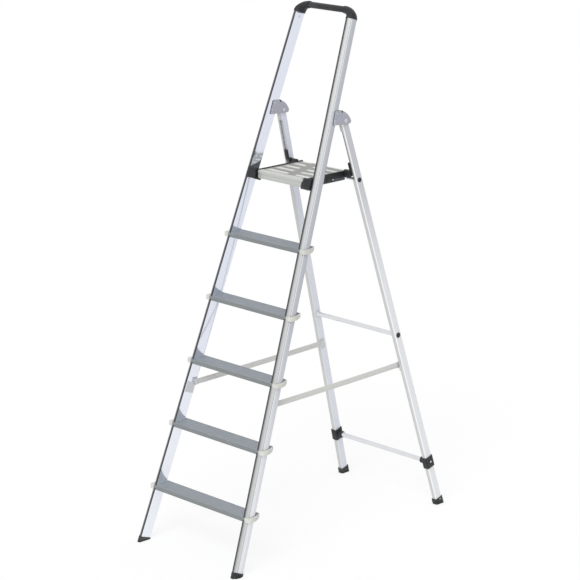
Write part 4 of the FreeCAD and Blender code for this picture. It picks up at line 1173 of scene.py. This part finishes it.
class LADDER_OT_fasteners(bpy.types.Operator):
    """Domed rivets and pan-head screws."""
    bl_idname = "ladder.fasteners"
    bl_label = "Rivets and screws"

    def heads(self, name, body, node, places):
        """Heads at places given as (member, start, direction sign, radius, height)."""
        shape = Shape()
        for member, start, sign, radius, height in places:
            rings = turned(dome(radius * MM, height * MM, 0.3), 28)
            shape.pair(aimed(rings, member(np.array(start) * MM), sign * member.axes[0]))
        shape.build(name, finish("bright_fastener"), body, [node])

    def execute(self, context):
        step = [(STILE, (0, 24.5, along_stile(z - 9.92 * MM) / MM), -1, 2.6, 1.6)
                for z in STEP_TOPS]
        self.heads("step_rivet_heads", "front_frame", "step_rivets", step)
        self.heads("front_foot_rivet_heads", "front_frame", "front_foot_rivets",
                   [(STILE, (23.9, 26, 31), 1, 3.2, 1.4)])
        self.heads("knuckle_screws", "front_frame", "hoop_screws",
                   [(STILE, (0, 26, along_stile(1.955) / MM), -1, 4.0, 2.4)])
        plate = []
        for rear, up, radius in ((-45, 32, 2.8), (-59, 6, 3.6), (-60, -4, 2.8)):
            back, height = by_hinge(rear * MM, up * MM)
            plate.append((STILE, (-3, back / MM, height / MM), -1, radius, 1.4))
            plate.append((STILE, (27.6, back / MM, height / MM), 1, radius, 1.4))
        self.heads("plate_rivet_heads", "front_frame", "hinge_rivets", plate)
        self.heads("clamp_rivet_heads", "rear_frame", "clamp_rivets",
                   [(LEG, (14.25, 2, -down_leg(0.186) / MM), 1, 4.0, 1.6)])
        self.heads("rear_foot_rivet_heads", "rear_frame", "rear_foot_rivets",
                   [(LEG, (13.25, 3, -down_leg(0.02025) / MM), 1, 2.6, 1.2)])
        low, high = (np.array(corner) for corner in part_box("side_cap_rivets"))
        middle = (low + high) / 2 / MM
        start = (high[0] / MM - 1.4, middle[1], middle[2])
        self.heads("cheek_rivet_heads", "platform", "side_cap_rivets",
                   [(LEVEL, start, 1, 3.4, 1.4)])
        return {"FINISHED"}


class LADDER_OT_straps(bpy.types.Operator):
    """Woven spreader straps with a sewn overlap at the rear anchor."""
    bl_idname = "ladder.straps"
    bl_label = "Straps"

    def band(self, start, end, width, thickness, sag, lift):
        """Flat band from start to end: rounded section, sagging by a shallow parabola.

        At share s of the way the band lies 4 * sag * s * (1 - s) low, lifted sideways by lift.
        """
        share = np.linspace(0, 1, 41)[:, None, None]
        section = rounded([(-thickness / 2, -width / 2), (thickness / 2, -width / 2),
                           (thickness / 2, width / 2), (-thickness / 2, width / 2)],
                          thickness * 0.42, 4)
        line = start + (end - start) * share
        line = line - np.array([0, 0, 1.0]) * 4 * sag * share * (1 - share)
        offset = np.column_stack([section[:, 0] + lift, np.zeros(len(section)), section[:, 1]])
        return line + offset[None]

    def stitches(self, start, end, width, outside):
        """Box stitch: short domed threads along a rectangle near the band's end."""
        span = end - start
        long_ = np.linspace(0.08, 0.92, 9)
        rows = [(share, height) for share in long_ for height in (-0.36, 0.36)]
        rows += [(share, height) for share in (0.08, 0.92) for height in (-0.18, 0.0, 0.18)]
        threads = []
        for share, height in rows:
            at = start + span * share + np.array([outside, 0, height * width])
            threads.append(aimed(turned(dome(0.7 * MM, 0.35 * MM, 0.1, 4), 8), at,
                                 (math.copysign(1, outside), 0, 0)))
        return threads

    def execute(self, context):
        thickness = context.scene.ladder_sizes.strap_thickness
        low, high = (np.array(corner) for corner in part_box("strap_right"))
        width = 22 * MM
        start = np.array([low[0] + 1 * MM, low[1], low[2] + 11 * MM])
        end = np.array([high[0] - 1 * MM, high[1], high[2] - 11 * MM])
        seam = start + (end - start) * 0.93
        main = self.band(start, end, width, thickness, 1.5 * MM, 0.0)
        lap = self.band(seam, end, width * 0.98, thickness * 0.7, 0.0, -thickness * 0.8)
        threads = self.stitches(seam, end, width, -thickness * 1.12)
        for side, mirror in (("right", False), ("left", True)):
            strap = Shape().loft(main, mirror)
            strap = strap.build("webbing_strap_" + side, finish("woven_webbing"), None,
                                ["strap_" + side])
            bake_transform(strap)
            sewn = Shape().loft(lap, mirror)
            for thread in threads:
                sewn.loft(thread, mirror)
            sewn = bpy.data.objects.new("sewn_lap_" + side, sewn.mesh("sewn_lap_" + side))
            context.scene.collection.objects.link(sewn)
            sewn.data.materials.append(finish("woven_webbing"))
            smooth(sewn.data)
            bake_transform(sewn)
        return {"FINISHED"}


class LADDER_OT_stage(bpy.types.Operator):
    """Pale floor, soft studio light and the camera."""
    bl_idname = "ladder.stage"
    bl_label = "Stage"

    def floor(self, context, radius):
        """Round floor whose seen colour is mostly plain white, with the ladder's shadow."""
        outline = np.column_stack([circle(radius, 64), np.zeros(64)])
        mesh = bpy.data.meshes.new("studio_floor")
        mesh.from_pydata(outline.tolist(), [], [list(range(64))])
        floor = bpy.data.objects.new("studio_floor", mesh)
        context.scene.collection.objects.link(floor)
        paper = Finish("studio_paper", Roughness=0.9, Specular_IOR_Level=0.0)
        paper.shader.inputs["Base Color"].default_value = (0.96, 0.96, 0.96, 1)
        path = paper.add("ShaderNodeLightPath")
        seen = Value(paper, path.outputs["Is Camera Ray"]) + Value(
            paper, path.outputs["Is Glossy Ray"])
        glow = paper.add("ShaderNodeEmission", None, {"Color": (1, 1, 1, 1), "Strength": 1.05})
        blend = paper.add("ShaderNodeMixShader", None,
                          {0: seen * 0.72, 1: paper.shader.outputs[0], 2: glow.outputs[0]})
        output = paper.tree.nodes["Material Output"]
        paper.tree.links.new(blend.outputs[0], output.inputs["Surface"])
        mesh.materials.append(paper.material)

    def world(self, context):
        """Even light from all round; the camera and reflections see it as plain white."""
        world = bpy.data.worlds.new("studio_light")
        world.use_nodes = True
        tree = world.node_tree
        background = tree.nodes["Background"]
        background.inputs["Color"].default_value = (1, 1, 1, 1)
        path = tree.nodes.new("ShaderNodeLightPath")
        seen = tree.nodes.new("ShaderNodeMath")
        seen.operation = "MAXIMUM"
        tree.links.new(path.outputs["Is Camera Ray"], seen.inputs[0])
        tree.links.new(path.outputs["Is Glossy Ray"], seen.inputs[1])
        strength = tree.nodes.new("ShaderNodeMapRange")
        strength.inputs["To Min"].default_value = 0.62
        strength.inputs["To Max"].default_value = 1.0
        tree.links.new(seen.outputs[0], strength.inputs["Value"])
        tree.links.new(strength.outputs[0], background.inputs["Strength"])
        context.scene.world = world

    def lamp(self, context, name, angle, strength, place, target):
        """Soft distant lamp aimed at a point."""
        data = bpy.data.lights.new(name, "SUN")
        data.energy = strength
        data.angle = angle
        lamp = bpy.data.objects.new(name, data)
        lamp.location = place
        lamp.rotation_euler = (Vector(target) - Vector(place)).to_track_quat("-Z", "Y").to_euler()
        context.scene.collection.objects.link(lamp)

    def camera(self, context):
        data = bpy.data.cameras.new("product_camera")
        data.lens = CAMERA_LENS
        data.sensor_width = 36.0
        data.clip_end = 60.0
        camera = bpy.data.objects.new("product_camera", data)
        camera.location = CAMERA_PLACE
        aim = Vector(CAMERA_AIM) - camera.location
        camera.rotation_euler = aim.to_track_quat("-Z", "Y").to_euler()
        context.scene.collection.objects.link(camera)
        context.scene.camera = camera

    def execute(self, context):
        sizes = context.scene.ladder_sizes
        self.floor(context, sizes.floor_radius)
        self.world(context)
        self.lamp(context, "key_lamp", math.radians(35), sizes.lamp_strength, (2.0, -4.0, 5.0),
                  (0, 0, 0.8))
        self.camera(context)
        context.scene.view_settings.view_transform = "Standard"
        return {"FINISHED"}


class LADDER_PT_panel(bpy.types.Panel):
    """Lists the ladder's pieces in the order they are made."""
    bl_label = "Step ladder"
    bl_idname = "LADDER_PT_panel"
    bl_space_type = "VIEW_3D"
    bl_region_type = "UI"
    bl_category = "Ladder"

    def draw(self, context):
        for group in (context.scene.ladder_sizes, context.scene.ladder_colours):
            for name in group.__annotations__:
                self.layout.prop(group, name)
        for operator in OPERATORS:
            self.layout.operator(operator.bl_idname)


OPERATORS = (LADDER_OT_stage, LADDER_OT_stiles, LADDER_OT_steps, LADDER_OT_hoop,
             LADDER_OT_hinges, LADDER_OT_rear_frame, LADDER_OT_platform, LADDER_OT_mouldings,
             LADDER_OT_fasteners, LADDER_OT_straps)
CLASSES = (LadderSizes, LadderColours) + OPERATORS + (LADDER_PT_panel,)


def register():
    for entry in CLASSES:
        bpy.utils.register_class(entry)
    bpy.types.Scene.ladder_sizes = bpy.props.PointerProperty(type=LadderSizes)
    bpy.types.Scene.ladder_colours = bpy.props.PointerProperty(type=LadderColours)


def unregister():
    del bpy.types.Scene.ladder_colours
    del bpy.types.Scene.ladder_sizes
    for entry in reversed(CLASSES):
        bpy.utils.unregister_class(entry)


def main():
    """Makes every piece and the stage."""
    register()
    bpy.ops.ladder.stage()
    bpy.ops.ladder.stiles()
    bpy.ops.ladder.steps()
    bpy.ops.ladder.hoop()
    bpy.ops.ladder.hinges()
    bpy.ops.ladder.rear_frame()
    bpy.ops.ladder.platform()
    bpy.ops.ladder.mouldings()
    bpy.ops.ladder.fasteners()
    bpy.ops.ladder.straps()
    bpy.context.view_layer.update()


if __name__ == "__main__":
    main()
